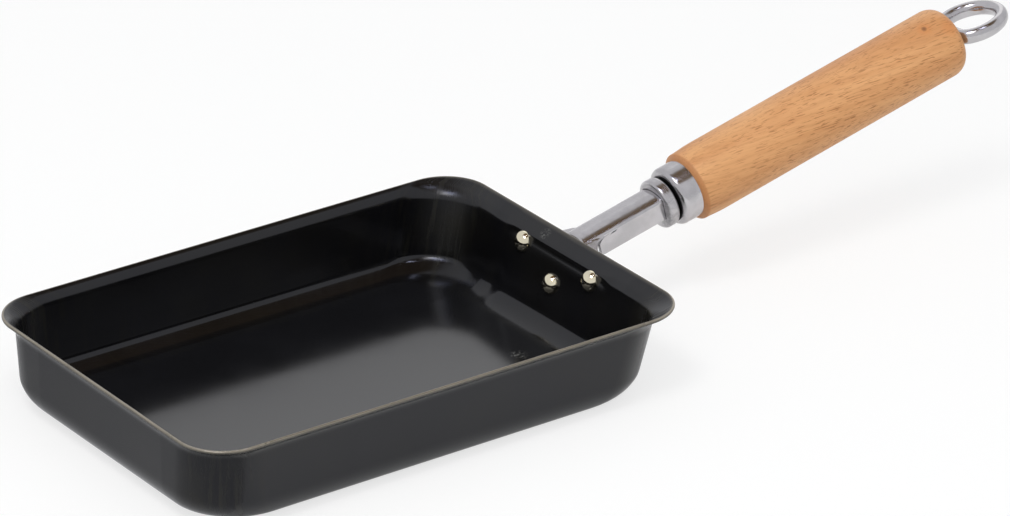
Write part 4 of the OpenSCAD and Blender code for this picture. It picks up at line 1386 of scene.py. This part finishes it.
def light_studio(studio):
    """A key lamp high on the camera's left, a broad soft lamp overhead, and an even white world.

    A dark card overhead, a pale one low behind the pan and a pale tent give the metal and the black
    steel their bands. A grey one on the table beside it is a painted shadow, seen only in reflections.
    Two small bluish boxes make the highlights in the far corner.
    """
    lamp("key", (-0.45, -0.25, 1.10), (0, 0, 0.02), (0.35, 0.35), studio.key, (1.0, 0.985, 0.96))
    lamp("broad", (-0.5, -0.9, 1.4), (0.05, 0, 0), (2.0, 2.0), studio.fill, shows=False)
    tent(4.5, (0.75, 0.755, 0.775))
    card("overhead_flag", (0.20, -0.165, 1.6), (0.20, -0.165, 0.0), (1.9, 1.37), (0.155, 0.100, 0.050))
    card("left_box", (0.165, -0.25, 1.19), (0.08, 0.06, 0.03), (0.07, 0.22), (11.0, 11.6, 15.0))
    card("right_box", (-0.44, -0.09, 1.12), (0.08, 0.06, 0.03), (0.30, 0.14), (10.0, 10.8, 15.0))
    # Painted shadow: a grey sheet on the table that the black steel mirrors in place of the pan's shadow on
    # the floor.
    card("painted_shadow_card", (-0.2385, 0.06, 0.0005), (-0.2385, 0.06, -1.0), (0.32, 0.50), (0.58, 0.585, 0.60))
    card("pale_card", (1.83, 2.0, 1.28), (0, 0, 0), (1.39, 1.9), (1.0, 1.0, 1.0), studio.glow)
    world = bpy.data.worlds.new("studio")
    bpy.context.scene.world = world
    n = emptied(world)
    soft = n.add("ShaderNodeBackground", {"Color": (0.97, 0.985, 1.0, 1), "Strength": studio.sky})[0]
    white = n.add("ShaderNodeBackground", {"Color": WHITE})[0]
    n.add("ShaderNodeOutputWorld", {"Surface": n.one_of(seen_directly(n), soft, white)})


def set_camera(studio, pan):
    """The camera stands back along (sin az cos el, -cos az cos el, sin el) from the rim's middle.

    It is then moved right and up in its own plane.
    """
    az, el = math.radians(studio.azimuth), math.radians(studio.elevation)
    back = Vector((math.sin(az) * math.cos(el), -math.cos(az) * math.cos(el), math.sin(el)))
    right = (-back).cross(Vector((0, 0, 1))).normalized()
    up = right.cross(-back)
    place = back * studio.distance + right * studio.right + up * studio.up + Vector((0, 0, pan.height))
    data = bpy.data.cameras.new("camera")
    data.lens = studio.lens
    data.sensor_width = 36.0
    data.sensor_fit = "HORIZONTAL"
    data.clip_start, data.clip_end = 0.05, 30.0
    camera = into_scene("camera", data)
    turn = Matrix((right, up, back)).transposed().to_4x4()
    camera.matrix_world = Matrix.Translation(place * MM) @ turn
    bpy.context.scene.camera = camera


STEPS = (PAN_OT_press_pan, PAN_OT_set_rivets, PAN_OT_press_bracket, PAN_OT_turn_fittings,
         PAN_OT_turn_wood, PAN_OT_bend_eye, PAN_OT_set_stage)
GROUPS = (("pan_sizes", PanSizes), ("bracket_sizes", BracketSizes), ("handle_sizes", HandleSizes),
          ("finish_colours", FinishColours), ("studio_settings", StudioSettings))


class PAN_PT_pan(bpy.types.Panel):
    """Sizes, colours and steps of the pan"""

    bl_idname = "PAN_PT_pan"
    bl_label = "Rolled-omelette pan"
    bl_space_type = "VIEW_3D"
    bl_region_type = "UI"
    bl_category = "Pan"

    def draw(self, context):
        for name, group in GROUPS:
            box = self.layout.box()
            for key in group.__annotations__:
                box.prop(getattr(context.scene, name), key)
        for step in STEPS:
            self.layout.operator(step.bl_idname)


def register():
    for name, group in GROUPS:
        bpy.utils.register_class(group)
        setattr(bpy.types.Scene, name, PointerProperty(type=group))
    for step in STEPS + (PAN_PT_pan,):
        bpy.utils.register_class(step)


def unregister():
    for step in (PAN_PT_pan,) + STEPS[::-1]:
        bpy.utils.unregister_class(step)
    for name, group in GROUPS[::-1]:
        delattr(bpy.types.Scene, name)
        bpy.utils.unregister_class(group)


def main():
    register()
    for step in STEPS:
        area, name = step.bl_idname.split(".")
        getattr(getattr(bpy.ops, area), name)()


if __name__ == "__main__":
    main()
